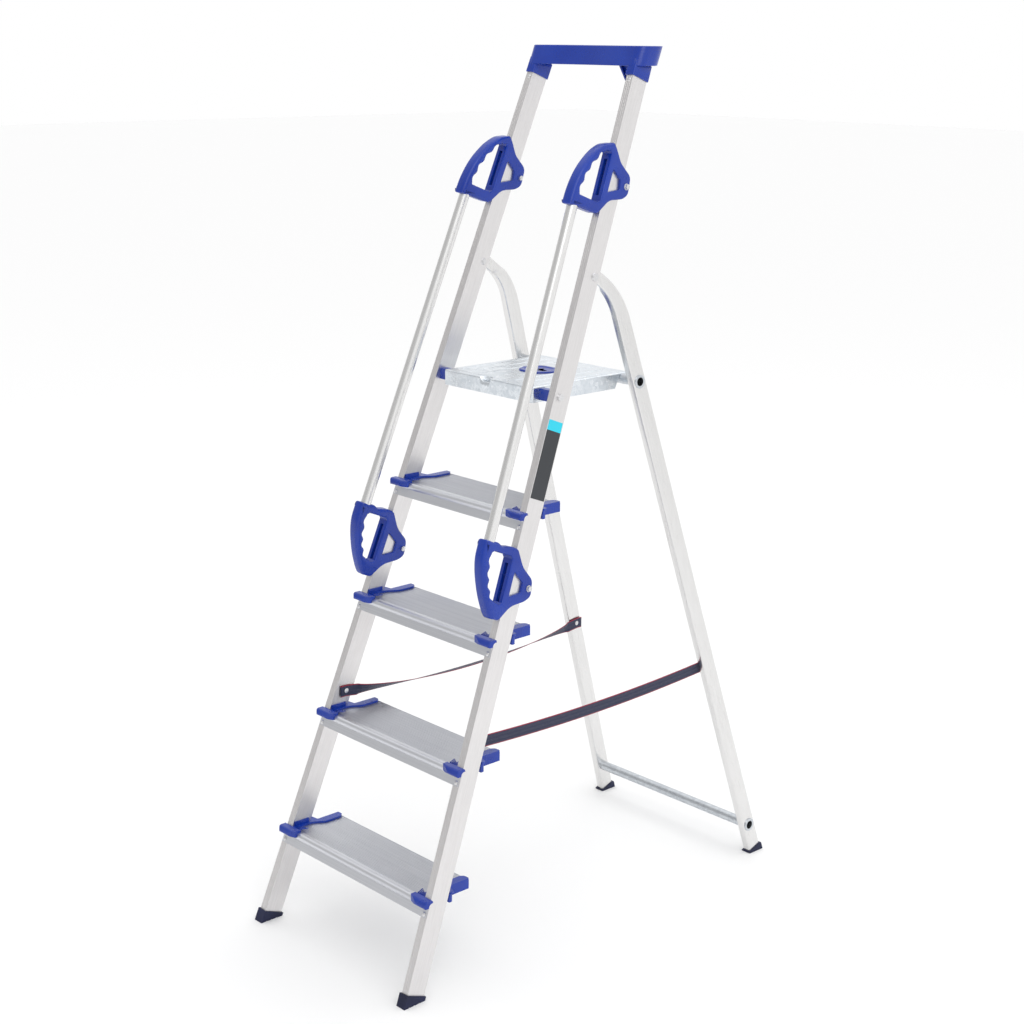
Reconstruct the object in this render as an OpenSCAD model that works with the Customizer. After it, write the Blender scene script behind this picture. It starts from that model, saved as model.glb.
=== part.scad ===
// Folding platform step ladder with handrails and a tool tray.
// Millimetres, +Z up, the climbing side faces -Y, the floor is z = 0.

/* [Overall] */
// Height of the tray rim above the floor
total_height = 1760; // [1600:5:2150]
// Width over the stiles at the floor
base_width = 470.4; // [390:0.2:600]
// Depth at the floor from stile fronts to rear leg backs
base_depth = 1025; // [850:5:1250]
// Height of the first tread
first_tread = 184; // [150:1:230]
// Rise from one tread to the next, and to the platform
tread_pitch = 230; // [190:1:280]

/* [Front frame] */
// Backward lean of the stiles in degrees
front_lean = 21; // [15:0.5:26]
// Width lost on each side per millimetre of height
front_taper = 0.0489; // [0.02:0.0001:0.07]
// Stile width across the ladder
stile_w = 17; // [14:0.5:24]
// Stile depth square to its front face
stile_d = 42; // [36:0.5:60]
// Wall of the stile section
stile_wall = 1.4; // [1.2:0.1:2.5]
// Depth of a tread top behind the stile fronts
tread_depth = 115; // [90:1:140]
// Height of the tread apron
apron_h = 28; // [20:1:45]

/* [Rear frame] */
// Pivot height above the platform as a share of the height left over it
pivot_share = 0.32; // [0.25:0.01:0.4]
// Pivot depth behind the stile front face
pivot_dep = 30; // [24:0.5:34]
// Distance from the pivot square to the leg centre line
leg_offset = 53; // [48:0.5:60]
// Leg width across the ladder
leg_w = 17; // [14:0.5:24]
// Leg depth
leg_d = 35; // [28:0.5:45]
// Width lost on each side per millimetre of height
rear_taper = 0.0526; // [0.02:0.0001:0.07]
// Outside diameter of the cross tube and the brace
tube_d = 21; // [18:0.5:26]
// Height of the lower brace
brace_z = 66; // [50:1:120]

/* [Platform] */
// Gap between stile and platform, filled by the spacer blocks
platform_gap = 34; // [20:0.5:45]
// Depth of the platform skirt
skirt_h = 31; // [24:0.5:45]
// Hinge depth behind the stile front face
hinge_dep = 15; // [12:0.5:24]

/* [Handrails] */
// Outside diameter of the rail tube
rail_d = 21.5; // [18:0.5:28]
// Distance of the rail axis ahead of the stile front face
rail_dep = 69; // [55:1:90]
// Width of a bracket across the ladder
bracket_w = 28; // [24:0.5:36]

/* [Tray] */
// Height of the tray wall
tray_h = 39; // [30:1:60]
// Wall thickness of the tray
tray_wall = 2.5; // [2:0.1:4]

/* [Straps] */
// Height of the strap rivets
strap_z = 450; // [350:5:550]
// Webbing width
strap_w = 24; // [18:1:32]
// Webbing thickness
strap_t = 1.5; // [1:0.1:2.5]

/* [Hidden] */

$fn = 48;
eps = 1;                       // overshoot of a cutting shape
touch = 0.05;                  // radial room of a fixed shank in its hole
running = 0.06;                // radial room of a turning shank in its hole
loose = 0.25;                  // room beside a part that slips over another

base_half = base_width / 2;
front_y = -base_depth / 2;
front_tilt = atan(front_taper * cos(front_lean));
platform_z = first_tread + 4 * tread_pitch;
pivot_z = platform_z + pivot_share * (total_height - platform_z);
pivot_y = stile_y(pivot_z) + pivot_dep / cos(front_lean);
leg_slack = leg_d * 0.525;     // half the leg measured level with the floor
foot_run = front_y + base_depth - leg_slack - pivot_y;
rear_lean = atan(foot_run / pivot_z) - asin(leg_offset / norm([foot_run, pivot_z]));
rear_tilt = atan(rear_taper * cos(rear_lean));
leg_half = base_half - rear_taper * pivot_z;

sheet_t = 1.5;                 // platform sheet
tube_gap = 0.3;                // air between platform and cross tube
tube_z = platform_z - sheet_t - tube_gap - tube_d / 2;
tube_y = leg_mid_y(tube_z);
tube_wall = 1.5;
tube_half = leg_outer(tube_z);
brace_y = leg_mid_y(brace_z);
brace_half = leg_outer(brace_z);

hinge_z = platform_z - 15;
hinge_y = stile_y(hinge_z) + (hinge_dep / cos(front_lean));
platform_half = stile_outer(hinge_z) - stile_w - platform_gap;
platform_front = stile_y(platform_z) - 15;
platform_back = tube_y + 18;

rivet_drop = 22.3;             // apron rivet below the tread top
rivet_r = 2.4;
rivet_head_r = 4.6;
apron_t = 2;
nose_r = 8;
plate_t = 2;
cap_lift = 4;                  // caps stand this far over the tread
air = 0.02;                    // gap between parts that are riveted face to face
stile_skew = stile_d * tan(front_lean) * sin(front_tilt);  // how far a stile closes in over its depth at one level
stile_level = stile_d / cos(front_lean);  // depth of a stile measured level
rear_step = 8;                 // tread ends stand in this far behind the stiles, clear of the folded legs

stile_foot = 8;                // rubber under the back corner of a stile
stile_start = (stile_foot + stile_d * sin(front_lean)) / cos(front_lean);
stile_end = (total_height - 25) / cos(front_lean);
foot_proud = 3;
leg_start = (2 - pivot_z - (leg_offset - leg_d / 2) * sin(rear_lean)) / cos(rear_lean);

tray_base = total_height - tray_h;
socket_start = (tray_base - 15) / cos(front_lean);
socket_wall = 3;
tray_front = -4;
tray_back = 71;
tray_half = stile_outer(total_height) + 13.7;
screw_al = socket_start - 9;

upper_al = (total_height - 255) / cos(front_lean);
lower_al = (platform_z - 354) / cos(front_lean);
bolt_dep = 50.3;
bolt_r = 3;
rail_top = upper_al - 64;
rail_foot = lower_al + 57;
web_dep = 10;

strap_front_y = stile_y(strap_z) + 26 / cos(front_lean);
strap_rear_y = leg_mid_y(strap_z);
strap_front_x = stile_outer(strap_z) - stile_w - 1.9;
strap_rear_x = leg_outer(strap_z) - leg_w - 1.9;
strap_run = strap_rear_y - strap_front_y;

pivot_r = 4;
hinge_r = 4;
tongue_x = leg_half - 8.1;     // inner face of the flattened leg end
strip_turn = 37.7;             // turn of the leg end towards the pivot
label_al = (platform_z - 197) / cos(front_lean);

aluminium = [0.78, 0.79, 0.8];
blue = [0.08, 0.16, 0.5];
steel = [0.62, 0.65, 0.68];
navy = [0.07, 0.09, 0.18];

function stile_y(z) = front_y + z * tan(front_lean);
function stile_outer(z) = base_half - front_taper * z;
function leg_outer(z) = base_half - rear_taper * z;
function leg_mid_y(z) = pivot_y + leg_offset * cos(rear_lean)
    - (z - pivot_z - leg_offset * sin(rear_lean)) * tan(rear_lean);

// Points of an arc about a centre.
function arc(c, r, a0, a1, n) = [for (i = [0 : n]) c + r * [cos(a0 + (a1 - a0) * i / n), sin(a0 + (a1 - a0) * i / n)]];

// A closed outline whose corners [x, y, cut] are eased by a curve starting that far before the corner.
function ease(p, n = 5) = [for (i = [0 : len(p) - 1])
    let (here = [p[i][0], p[i][1]], last = p[(i + len(p) - 1) % len(p)], next = p[(i + 1) % len(p)],
        back = [last[0], last[1]] - here, ahead = [next[0], next[1]] - here,
        from = here + back / norm(back) * p[i][2], to = here + ahead / norm(ahead) * p[i][2])
    each p[i][2] == 0 ? [here] : [for (k = [0 : n]) let (t = k / n)
        (1 - t) * (1 - t) * from + 2 * t * (1 - t) * here + t * t * to]];

// Points of a finger grip: a curve from a to b drawn towards c, scooped out once for each finger.
function finger_edge(a, c, b, fingers = 4, scoop = 5, n = 32) = [for (k = [0 : n])
    let (t = k / n, p = (1 - t) * (1 - t) * a + 2 * t * (1 - t) * c + t * t * b,
        d = (1 - t) * (c - a) + t * (b - c), u = d / norm(d))
    p + scoop * (1 - cos(360 * fingers * t)) / 2 * [-u[1], u[0]]];

module on(side) {
    mirror([side < 0 ? 1 : 0, 0, 0])
    children();
}

// Leaning plane of the front frame: y is depth behind the stile fronts, z runs up the slope.
module leaned() {
    translate([0, front_y, 0])
    rotate([-front_lean, 0, 0])
    children();
}

// One stile: x = 0 on its outer face, y = 0 on its front face, z along it.
module in_stile(side) {
    on(side)
    translate([base_half, 0, 0])
    leaned()
    rotate([0, -front_tilt, 0])
    children();
}

// One rear leg: origin where the pivot meets its outer face, y square to it, z along it.
module in_leg(side) {
    on(side)
    translate([leg_half, pivot_y, pivot_z])
    rotate([rear_lean, 0, 0])
    rotate([0, -rear_tilt, 0])
    children();
}

// Extrudes an outline drawn in y and z along x, from x0 to x1.
module across(x0, x1) {
    translate([x0, 0, 0])
    rotate([90, 0, 90])
    linear_extrude(x1 - x0)
    children();
}

// A cylinder along x.
module bar(x0, x1, r) {
    translate([x0, 0, 0])
    rotate([0, 90, 0])
    cylinder(h = x1 - x0, r = r);
}

// A cylinder along y.
module pin(y0, y1, r) {
    translate([0, y0, 0])
    rotate([-90, 0, 0])
    cylinder(h = y1 - y0, r = r);
}

// A low domed head standing on z = 0.
module dome(r, h) {
    ball = (r * r + h * h) / (2 * h);
    intersection() {
        translate([0, 0, h - ball])
        sphere(r = ball);
        cylinder(h = h + eps, r = r + eps);
    }
}

module floor_cut() {
    translate([-base_width, -base_depth, -200])
    cube([2 * base_width, 2 * base_depth, 200]);
}

// Front frame.

module stile_block(side, grow) {
    in_stile(side)
    translate([-stile_w - grow, -grow, stile_start])
    cube([stile_w + 2 * grow, stile_d + 2 * grow, stile_end - stile_start]);
}

module stile(side) {
    groove_w = 1.6;
    groove_t = 0.5;
    color(aluminium)
    difference() {
        in_stile(side)
        difference() {
            translate([-stile_w, 0, stile_start])
            cube([stile_w, stile_d, stile_end - stile_start]);
            translate([stile_wall - stile_w, stile_wall, stile_start - eps])
            cube([stile_w - 2 * stile_wall, stile_d - 2 * stile_wall, stile_end - stile_start + 2 * eps]);
            for (x = [0.22, 0.5, 0.78])
                translate([-stile_w * x - groove_w / 2, -eps, stile_start - eps])
                cube([groove_w, groove_t + eps, stile_end - stile_start + 2 * eps]);
            for (i = [0 : 3])
                translate([-stile_w / 2, 0, (first_tread + i * tread_pitch - rivet_drop) / cos(front_lean)])
                pin(-eps, stile_wall + eps, rivet_r + touch);
            translate([-stile_w / 2, 0, screw_al])
            pin(-eps, stile_wall + eps, rivet_r + touch);
            slot_mid = pivot_z / cos(front_lean) + pivot_dep * tan(front_lean);
            translate([stile_wall - stile_w, stile_d - stile_wall - eps, slot_mid - 30])
            cube([stile_w - 2 * stile_wall, stile_wall + 2 * eps, 53]);
        }
        on(side)
        translate([0, pivot_y, pivot_z])
        bar(0, base_half, pivot_r + touch);
        on(side)
        translate([0, hinge_y, hinge_z])
        bar(0, base_half, hinge_r + touch);
        on(side)
        translate([0, strap_front_y, strap_z])
        bar(0, stile_outer(strap_z) - stile_w / 2, rivet_r + touch);
    }
}

// Cross-section of a tread: ribbed top plate, rounded nose and rear flange; y = 0 at the stile front.
module tread_profile() {
    rib_pitch = 4;
    rib_h = 0.8;
    flange_h = 18;
    flange_w = 8;
    root = 3;                  // how far the plate runs into the nose
    translate([-root, -plate_t])
    square([tread_depth + root, plate_t - rib_h]);
    translate([-1, -plate_t])
    square([nose_r, plate_t]);
    for (y = [nose_r / 2 : rib_pitch : tread_depth - rib_pitch])
        translate([y, -plate_t])
        square([rib_pitch / 2, plate_t]);
    translate([tread_depth - plate_t, -flange_h])
    square([plate_t, flange_h]);
    translate([tread_depth - flange_w, -flange_h])
    square([flange_w, plate_t]);
}

// Nose and apron, both ahead of the stile fronts; y = 0 at the stile front, z = 0 at the tread top.
module apron_profile() {
    run = tan(front_lean);
    difference() {
        union() {
            translate([0, -nose_r])
            circle(r = nose_r);
            polygon([[-apron_t - apron_h * run, -apron_h], [-apron_h * run, -apron_h], [0, 0], [-apron_t, -2]]);
        }
        polygon([[-air, apron_h], [-air, 0], [-apron_h * run * 2 - air, -apron_h * 2], [apron_h, -apron_h * 2],
            [apron_h, apron_h]]);
    }
}

module tread(i) {
    z = first_tread + i * tread_pitch;
    half = stile_outer(z) - 1;
    inner = stile_outer(z) - stile_w - stile_skew - loose;
    color(aluminium)
    difference() {
        union() {
            translate([0, stile_y(z), z])
            across(-half, half)
            apron_profile();
            translate([0, stile_y(z), z])
            across(-inner, inner)
            tread_profile();
        }
        for (side = [-1, 1]) {
            in_stile(side)
            translate([-stile_w / 2, 0, (z - rivet_drop) / cos(front_lean)])
            pin(-apron_h, eps, rivet_r + touch);
            on(side)
            translate([stile_outer(z) - stile_w - rear_step, stile_y(z) + stile_level + 1, z - apron_h])
            cube([stile_w, tread_depth, 2 * apron_h]);
        }
    }
}

module tread_cap(side, i) {
    z = first_tread + i * tread_pitch;
    y0 = stile_y(z);
    outer = stile_outer(z);
    inner = outer - stile_w;
    back = stile_level;
    nose_y = -18;
    nose_drop = 8;
    tab_drop = 17;
    reach = 28;                // how far the cap covers the tread's end
    skirt_x = inner - rear_step + loose;
    skirt_out = inner - rear_step + 3;
    color(blue)
    difference() {
        on(side)
        translate([0, y0, z])
        union() {
            intersection() {
                translate([0, 0, -nose_drop - eps])
                linear_extrude(nose_drop + cap_lift + 3)
                polygon(ease([[inner - reach, -11, 2], [inner - 8, nose_y, 5], [outer + 5, nose_y, 6], [outer + 5, 4, 2],
                    [inner - reach, 4, 0]]));
                across(0, base_width)
                polygon(ease([[nose_y, -4, 0], [nose_y + 3, cap_lift + 1, 5], [1, cap_lift + 1, 1],
                    [4, -nose_drop, 1], [nose_y + 1, -nose_drop, 2]]));
            }
            linear_extrude(cap_lift)
            polygon(ease([[inner - reach, -3, 0], [inner + 1, -3, 0], [inner + 1, back + 4, 0], [outer, back + 4, 1],
                [outer, back + 14, 6], [skirt_out, back + 17, 2], [skirt_out, tread_depth, 2],
                [inner - 18, tread_depth, 4], [inner - 24, tread_depth - 8, 4], [inner - 24, back + 24, 4],
                [inner - 9, back, 6], [inner - 8, 28, 5]], 3));
            translate([inner - 3, 6, 0.5])
            cube([4, back - 10, 11.5]);
            for (k = [0 : 4])
                translate([inner - 24 + 4 * k, 3, cap_lift - 0.2])
                rotate([0, 0, 20])
                cube([1.6, 18 - 3 * k, 1.4]);
            translate([0, 0, -tab_drop])
            linear_extrude(tab_drop + eps)
            polygon(ease([[skirt_x, back + 3, 0], [outer - 2, back + 3, 1], [outer - 2, back + 12, 5],
                [skirt_out, back + 15, 2], [skirt_out, tread_depth, 1], [skirt_x, tread_depth, 0]]));
        }
        stile_block(side, 0);
        on(side)
        translate([0, y0, z])
        across(-base_half, inner + 0.5)
        translate([-1, -30])
        square([stile_level + 3, 30]);
        on(side)
        translate([0, y0, z])
        across(-base_half, skirt_x)
        translate([-1, -30])
        square([tread_depth + 2, 30]);
        translate([0, y0, z])
        across(-base_half, base_half)
        translate([0, -nose_r])
        circle(r = nose_r + loose);
        leaned()
        translate([-base_half, -apron_t, 0])
        cube([base_width, stile_d, (z - 3) / cos(front_lean)]);
    }
}

module tread_rivets() {
    color(steel)
    for (side = [-1, 1], i = [0 : 3])
        in_stile(side)
        translate([-stile_w / 2, 0, (first_tread + i * tread_pitch - rivet_drop) / cos(front_lean)])
        union() {
            pin(-apron_t, 7, rivet_r);
            translate([0, -apron_t, 0])
            rotate([90, 0, 0])
            dome(rivet_head_r, 2);
            pin(stile_wall, 7, rivet_r + 1);
        }
}

module front_foot(side) {
    groove_w = 3;
    groove_t = 1.5;
    color(navy)
    difference() {
        in_stile(side)
        union() {
            translate([-stile_w - foot_proud, -foot_proud, -30])
            cube([stile_w + 2 * foot_proud, stile_d + 2 * foot_proud, stile_start + 30]);
            translate([stile_wall + loose - stile_w, stile_wall + loose, 0])
            cube([stile_w - 2 * stile_wall - 2 * loose, stile_d - 2 * stile_wall - 2 * loose, stile_start + 28]);
        }
        floor_cut();
        for (k = [0 : 2])
            on(side)
            translate([base_half - 2 * stile_w, front_y + 8 + 12 * k, -eps])
            cube([3 * stile_w, groove_w, eps + groove_t]);
    }
}

module tray_outline(inset) {
    front_r = 22 - inset;
    back_r = 40 - inset;
    xf = tray_half - 22;
    xb = tray_half - 40;
    bow = 7;
    steps = 16;
    polygon(concat(
        arc([xf, tray_front + 22], front_r, -90, 0, 8),
        arc([xb, tray_back - 40], back_r, 0, 90, 10),
        arc([-xb, tray_back - 40], back_r, 90, 180, 10),
        arc([-xf, tray_front + 22], front_r, 180, 270, 8),
        [for (k = [1 : steps - 1]) [-xf + 2 * xf * k / steps, tray_front + inset + bow * (1 - cos(360 * k / steps)) / 2]]));
}

module level_band(z0, z1) {
    translate([-base_half, front_y, z0])
    cube([base_width, base_depth, z1 - z0]);
}

module tray_solid(inset, z0, z1) {
    intersection() {
        leaned()
        translate([0, 0, socket_start])
        linear_extrude(120)
        tray_outline(inset);
        level_band(z0, z1);
    }
}

module socket_block(side) {
    in_stile(side)
    translate([-stile_w - socket_wall, -socket_wall, socket_start])
    cube([stile_w + 2 * socket_wall, stile_d + 2 * socket_wall, stile_end + tray_wall - socket_start]);
}

module tool_tray() {
    hook_x = tray_half - 54;
    hook_y = stile_y(tray_base) + 32;
    color(blue)
    difference() {
        union() {
            difference() {
                tray_solid(0, tray_base, total_height);
                tray_solid(tray_wall, tray_base + tray_wall, total_height + eps);
            }
            for (side = [-1, 1]) {
                intersection() {
                    socket_block(side);
                    level_band(tray_base - 60, tray_base + eps);
                }
                intersection() {
                    socket_block(side);
                    tray_solid(0.2, tray_base + 0.2, total_height - 4);
                }
            }
            difference() {
                translate([0, hook_y + 14, 0])
                rotate([90, 0, 0])
                linear_extrude(14)
                polygon([[hook_x - 34, tray_base + 1], [hook_x - 15, tray_base - 31], [hook_x + 3, tray_base - 31],
                    [hook_x + 7, tray_base - 15], [hook_x, tray_base - 15], [hook_x, tray_base + 1]]);
                translate([0, hook_y + 11.5, 0])
                rotate([90, 0, 0])
                linear_extrude(20)
                polygon([[hook_x - 27, tray_base - 0.5], [hook_x - 12, tray_base - 27], [hook_x - 2, tray_base - 27],
                    [hook_x - 2, tray_base - 0.5]]);
            }
        }
        for (side = [-1, 1]) {
            in_stile(side)
            translate([-stile_w - loose / 2, -loose / 2, 0])
            cube([stile_w + loose, stile_d + loose, stile_end]);
        }
    }
}

module tray_screws() {
    color(steel)
    for (side = [-1, 1])
        in_stile(side)
        translate([-stile_w / 2, 0, screw_al])
        union() {
            pin(0, 9, rivet_r);
            rotate([90, 0, 0])
            dome(rivet_head_r, 2.2);
        }
}

module handrail(side) {
    color(aluminium)
    in_stile(side)
    translate([-stile_w / 2, -rail_dep, rail_foot])
    difference() {
        cylinder(h = rail_top - rail_foot, d = rail_d);
        translate([0, 0, -eps])
        cylinder(h = rail_top - rail_foot + 2 * eps, d = rail_d - 2 * tube_wall);
    }
}

// Shared body of a bracket: the outline clasps the stile and leaves a slot showing it in front.
module bracket(side, mid) {
    overhang = (bracket_w - stile_w) / 2;
    in_stile(side)
    translate([0, 0, mid])
    difference() {
        across(-stile_w - overhang, overhang)
        children(0);
        across(-stile_w - overhang - eps, overhang + eps)
        children(1);
        translate([-stile_w - loose, 0, -150])
        cube([stile_w + 2 * loose, 100, 300]);
        translate([-stile_w * 0.76, -web_dep - eps, -37])
        cube([stile_w * 0.52, web_dep + 2 * eps, 75]);
        translate([0, bolt_dep, 0])
        bar(-60, 60, bolt_r + touch);
    }
}

module upper_bracket(side) {
    color(blue)
    difference() {
        bracket(side, upper_al) {
            polygon(ease([[-89, -79, 3], [-88, -45, 20], [-78, -2, 22], [-55, 40, 18], [-34, 61, 8], [-8, 72, 4],
                [4, 60, 6], [22, 40, 8], [58, 23, 10], [62, -14, 8], [50, -26, 7], [14, -40, 12], [-8, -74, 6],
                [-30, -76, 6], [-50, -77, 4]]));
            union() {
                polygon(concat(finger_edge([-68, -53], [-66, 2], [-24, 50]),
                    [[-web_dep - 4, 53], [-web_dep, 49], [-web_dep, -48], [-web_dep - 5, -53]]));
                polygon(ease([[5, 22, 2], [31, 8, 3], [35, -11, 3], [4, -26, 2]]));
            }
        }
        in_stile(side)
        translate([-stile_w / 2, -rail_dep, rail_top - 60])
        cylinder(h = 60, r = rail_d / 2 + touch);
    }
}

module lower_bracket(side) {
    color(blue)
    difference() {
        bracket(side, lower_al) {
            polygon(ease([[-88, 70, 3], [-88, 32, 15], [-78, 2, 15], [-58, -36, 18], [-38, -62, 8], [-28, -72, 5],
                [-7, -72, 5], [14, -42, 14], [50, -26, 7], [63, -14, 8], [57, 18, 9], [24, 37, 10], [0, 68, 6],
                [-14, 70, 6], [-40, 66, 6], [-52, 71, 4]]));
            union() {
                polygon(concat(finger_edge([-33, -38], [-62, -8], [-65, 49]),
                    [[-60, 53], [-web_dep - 5, 52], [-web_dep, 47], [-web_dep, -38], [-web_dep - 5, -43]]));
                polygon(ease([[4, 24, 2], [32, 8, 3], [33, -12, 3], [4, -24, 2]]));
            }
        }
        in_stile(side)
        translate([-stile_w / 2, -rail_dep, rail_foot])
        cylinder(h = 60, r = rail_d / 2 + touch);
    }
}

module bracket_bolts() {
    overhang = (bracket_w - stile_w) / 2;
    color(steel)
    for (side = [-1, 1], al = [upper_al, lower_al])
        in_stile(side)
        translate([0, bolt_dep, al])
        union() {
            bar(-stile_w - overhang - 7, overhang, bolt_r);
            bar(overhang, overhang + 1.2, 6.5);
            translate([overhang + 1.2, 0, 0])
            rotate([0, 90, 0])
            cylinder(h = 4, r = 5.5, $fn = 6);
        }
}

module bracket_nuts() {
    overhang = (bracket_w - stile_w) / 2;
    color(steel)
    for (side = [-1, 1], al = [upper_al, lower_al])
        in_stile(side)
        translate([-stile_w - overhang, bolt_dep, al])
        rotate([0, -90, 0])
        difference() {
            cylinder(h = 5, r = 5.5, $fn = 6);
            translate([0, 0, -eps])
            cylinder(h = 5 + 2 * eps, r = bolt_r + touch);
        }
}

module pivot_rivets() {
    head_r = 9;
    head_h = 3;
    color(steel)
    for (side = [-1, 1])
        difference() {
            on(side)
            translate([0, pivot_y, pivot_z])
            union() {
                bar(stile_outer(pivot_z) - stile_w - 3, stile_outer(pivot_z) + 3, pivot_r);
                translate([stile_outer(pivot_z) - 1, 0, 0])
                rotate([0, 90, 0])
                cylinder(h = 1 + head_h, r1 = head_r, r2 = head_r - 2);
                translate([stile_outer(pivot_z) - stile_w + 1 - head_h, 0, 0])
                rotate([0, 90, 0])
                cylinder(h = 1 + head_h - 1, r1 = head_r - 3, r2 = head_r - 1);
            }
            difference() {
                stile_block(side, 0);
                on(side)
                translate([0, pivot_y, pivot_z])
                bar(0, base_half, pivot_r);
            }
        }
}

module pivot_spacers() {
    color(navy)
    for (side = [-1, 1])
        difference() {
            intersection() {
                on(side)
                translate([0, pivot_y, pivot_z])
                union() {
                    bar(leg_half + 0.7, leg_half + 20, 8);
                    bar(leg_half - 30, tongue_x - 0.1, 8);
                }
                in_stile(side)
                translate([stile_wall - stile_w, stile_wall, stile_start])
                cube([stile_w - 2 * stile_wall, stile_d - 2 * stile_wall, stile_end - stile_start]);
            }
            on(side)
            translate([0, pivot_y, pivot_z])
            bar(0, base_half, pivot_r + touch);
        }
}

module front_strap_rivets() {
    color(steel)
    for (side = [-1, 1])
        difference() {
            on(side)
            translate([strap_front_x - strap_t, strap_front_y, strap_z])
            union() {
                bar(0, strap_t + 9, rivet_r);
                rotate([0, -90, 0])
                dome(5, 2);
                bar(strap_t, strap_t + 4, 5);
            }
            difference() {
                stile_block(side, 0);
                on(side)
                translate([0, strap_front_y, strap_z])
                bar(0, base_half, rivet_r);
            }
        }
}

module side_label() {
    label_t = 0.4;
    color([0.2, 0.22, 0.25])
    in_stile(1)
    translate([0, 2, label_al])
    cube([label_t, stile_d - 4, 156]);
}

module platform_bolts() {
    color(steel)
    for (side = [-1, 1])
        difference() {
            on(side)
            translate([0, hinge_y, hinge_z])
            union() {
                bar(platform_half - 12, stile_outer(hinge_z) + 3, hinge_r);
                translate([stile_outer(hinge_z) - 1, 0, 0])
                rotate([0, 90, 0])
                cylinder(h = 5, r = 7);
            }
            difference() {
                stile_block(side, 0);
                on(side)
                translate([0, hinge_y, hinge_z])
                bar(0, base_half, hinge_r);
            }
        }
}

module platform_nuts() {
    color(steel)
    for (side = [-1, 1])
        on(side)
        translate([platform_half - sheet_t - 0.2, hinge_y, hinge_z])
        rotate([0, -90, 0])
        difference() {
            cylinder(h = 6, r = 7, $fn = 6);
            translate([0, 0, -eps])
            cylinder(h = 6 + 2 * eps, r = hinge_r + touch);
        }
}

module platform_spacer(side) {
    block_y = 14;
    block_z = 23;
    color(blue)
    difference() {
        on(side)
        translate([platform_half + 0.1, hinge_y - block_y / 2, hinge_z - block_z / 2])
        cube([base_half, block_y, block_z]);
        on(side)
        translate([0, hinge_y, hinge_z])
        bar(0, 2 * base_half, hinge_r + touch);
        in_stile(side)
        translate([-stile_w, -200, 0])
        cube([2 * base_half, 500, 2 * total_height]);
    }
}

// Platform.

module grip_outline(grow) {
    a = 40 + grow;
    b = 32 + grow;
    polygon(ease([[-a, 0, 8], [-a * 0.62, b, 16], [a * 0.62, b, 16], [a, 0, 8], [a * 0.62, -b, 16], [-a * 0.62, -b, 16]]));
}

module platform() {
    grip_y = (platform_front + platform_back) / 2 + 7;
    depth = platform_back - platform_front;
    under = platform_z - skirt_h;
    bead_h = 1;
    color(steel)
    difference() {
        union() {
            translate([-platform_half, platform_front, platform_z - sheet_t])
            cube([2 * platform_half, depth, sheet_t]);
            for (side = [-1, 1])
                on(side)
                across(platform_half - sheet_t, platform_half)
                polygon([[platform_front, platform_z - 0.2], [platform_front, under], [tube_y - 21.5, under],
                    [tube_y - 8.5, platform_z - sheet_t + 0.2], [tube_y - 8.5, platform_z - 0.2]]);
            translate([-platform_half, platform_front, under])
            cube([2 * platform_half, sheet_t, skirt_h]);
            translate([-platform_half, platform_front, under])
            cube([2 * platform_half, 7, sheet_t]);
            translate([-platform_half, platform_back - sheet_t, platform_z - 22])
            cube([2 * platform_half, sheet_t, 22]);
            for (x = [-0.72 : 0.24 : 0.72])
                if (abs(x) > 0.4)
                    translate([platform_half * x - 3, platform_front + 34, platform_z - 0.2])
                    cube([6, depth - 60, bead_h + 0.2]);
            translate([-platform_half + 8, platform_front + 14, platform_z - 0.2])
            cube([2 * platform_half - 16, 5, bead_h + 0.2]);
        }
        translate([0, platform_front - 6, under - eps])
        cylinder(h = 2 * skirt_h, r = 15);
        translate([-8, platform_front + 24, platform_z - 2 * sheet_t])
        cube([16, 3, 4 * sheet_t]);
        translate([0, grip_y, platform_z - 2 * sheet_t])
        linear_extrude(4 * sheet_t)
        grip_outline(0);
        for (side = [-1, 1])
            on(side)
            translate([0, hinge_y, hinge_z])
            bar(platform_half / 2, base_half, hinge_r + running);
    }
}

module platform_grip_insert() {
    grip_y = (platform_front + platform_back) / 2 + 7;
    rim = 4;
    proud = 2.5;
    color(blue)
    translate([0, grip_y, platform_z])
    difference() {
        union() {
            linear_extrude(proud)
            grip_outline(rim);
            translate([0, 0, -16])
            linear_extrude(16 + proud)
            grip_outline(-0.2);
        }
        translate([0, 0, -13])
        linear_extrude(30)
        grip_outline(-6);
    }
}

// Rear frame.

module leg_outline() {
    near = leg_offset - leg_d / 2;
    far = leg_offset + leg_d / 2;
    dir = [sin(strip_turn), -cos(strip_turn)];
    square_to = [cos(strip_turn), sin(strip_turn)];
    out_n = 19.3;
    in_n = -5.8;
    top_s = -13;
    out_corner = dir * ((far - square_to[0] * out_n) / dir[0]) + square_to * out_n;
    in_corner = dir * ((near - square_to[0] * in_n) / dir[0]) + square_to * in_n;
    out_top = dir * top_s + square_to * out_n;
    in_top = dir * top_s + square_to * in_n;
    polygon(ease([[near, leg_start, 0], [far, leg_start, 0], concat(out_corner, 62), concat(out_top, 11),
        concat(in_top, 11), concat(in_corner, 44)], 10));
}

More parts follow.
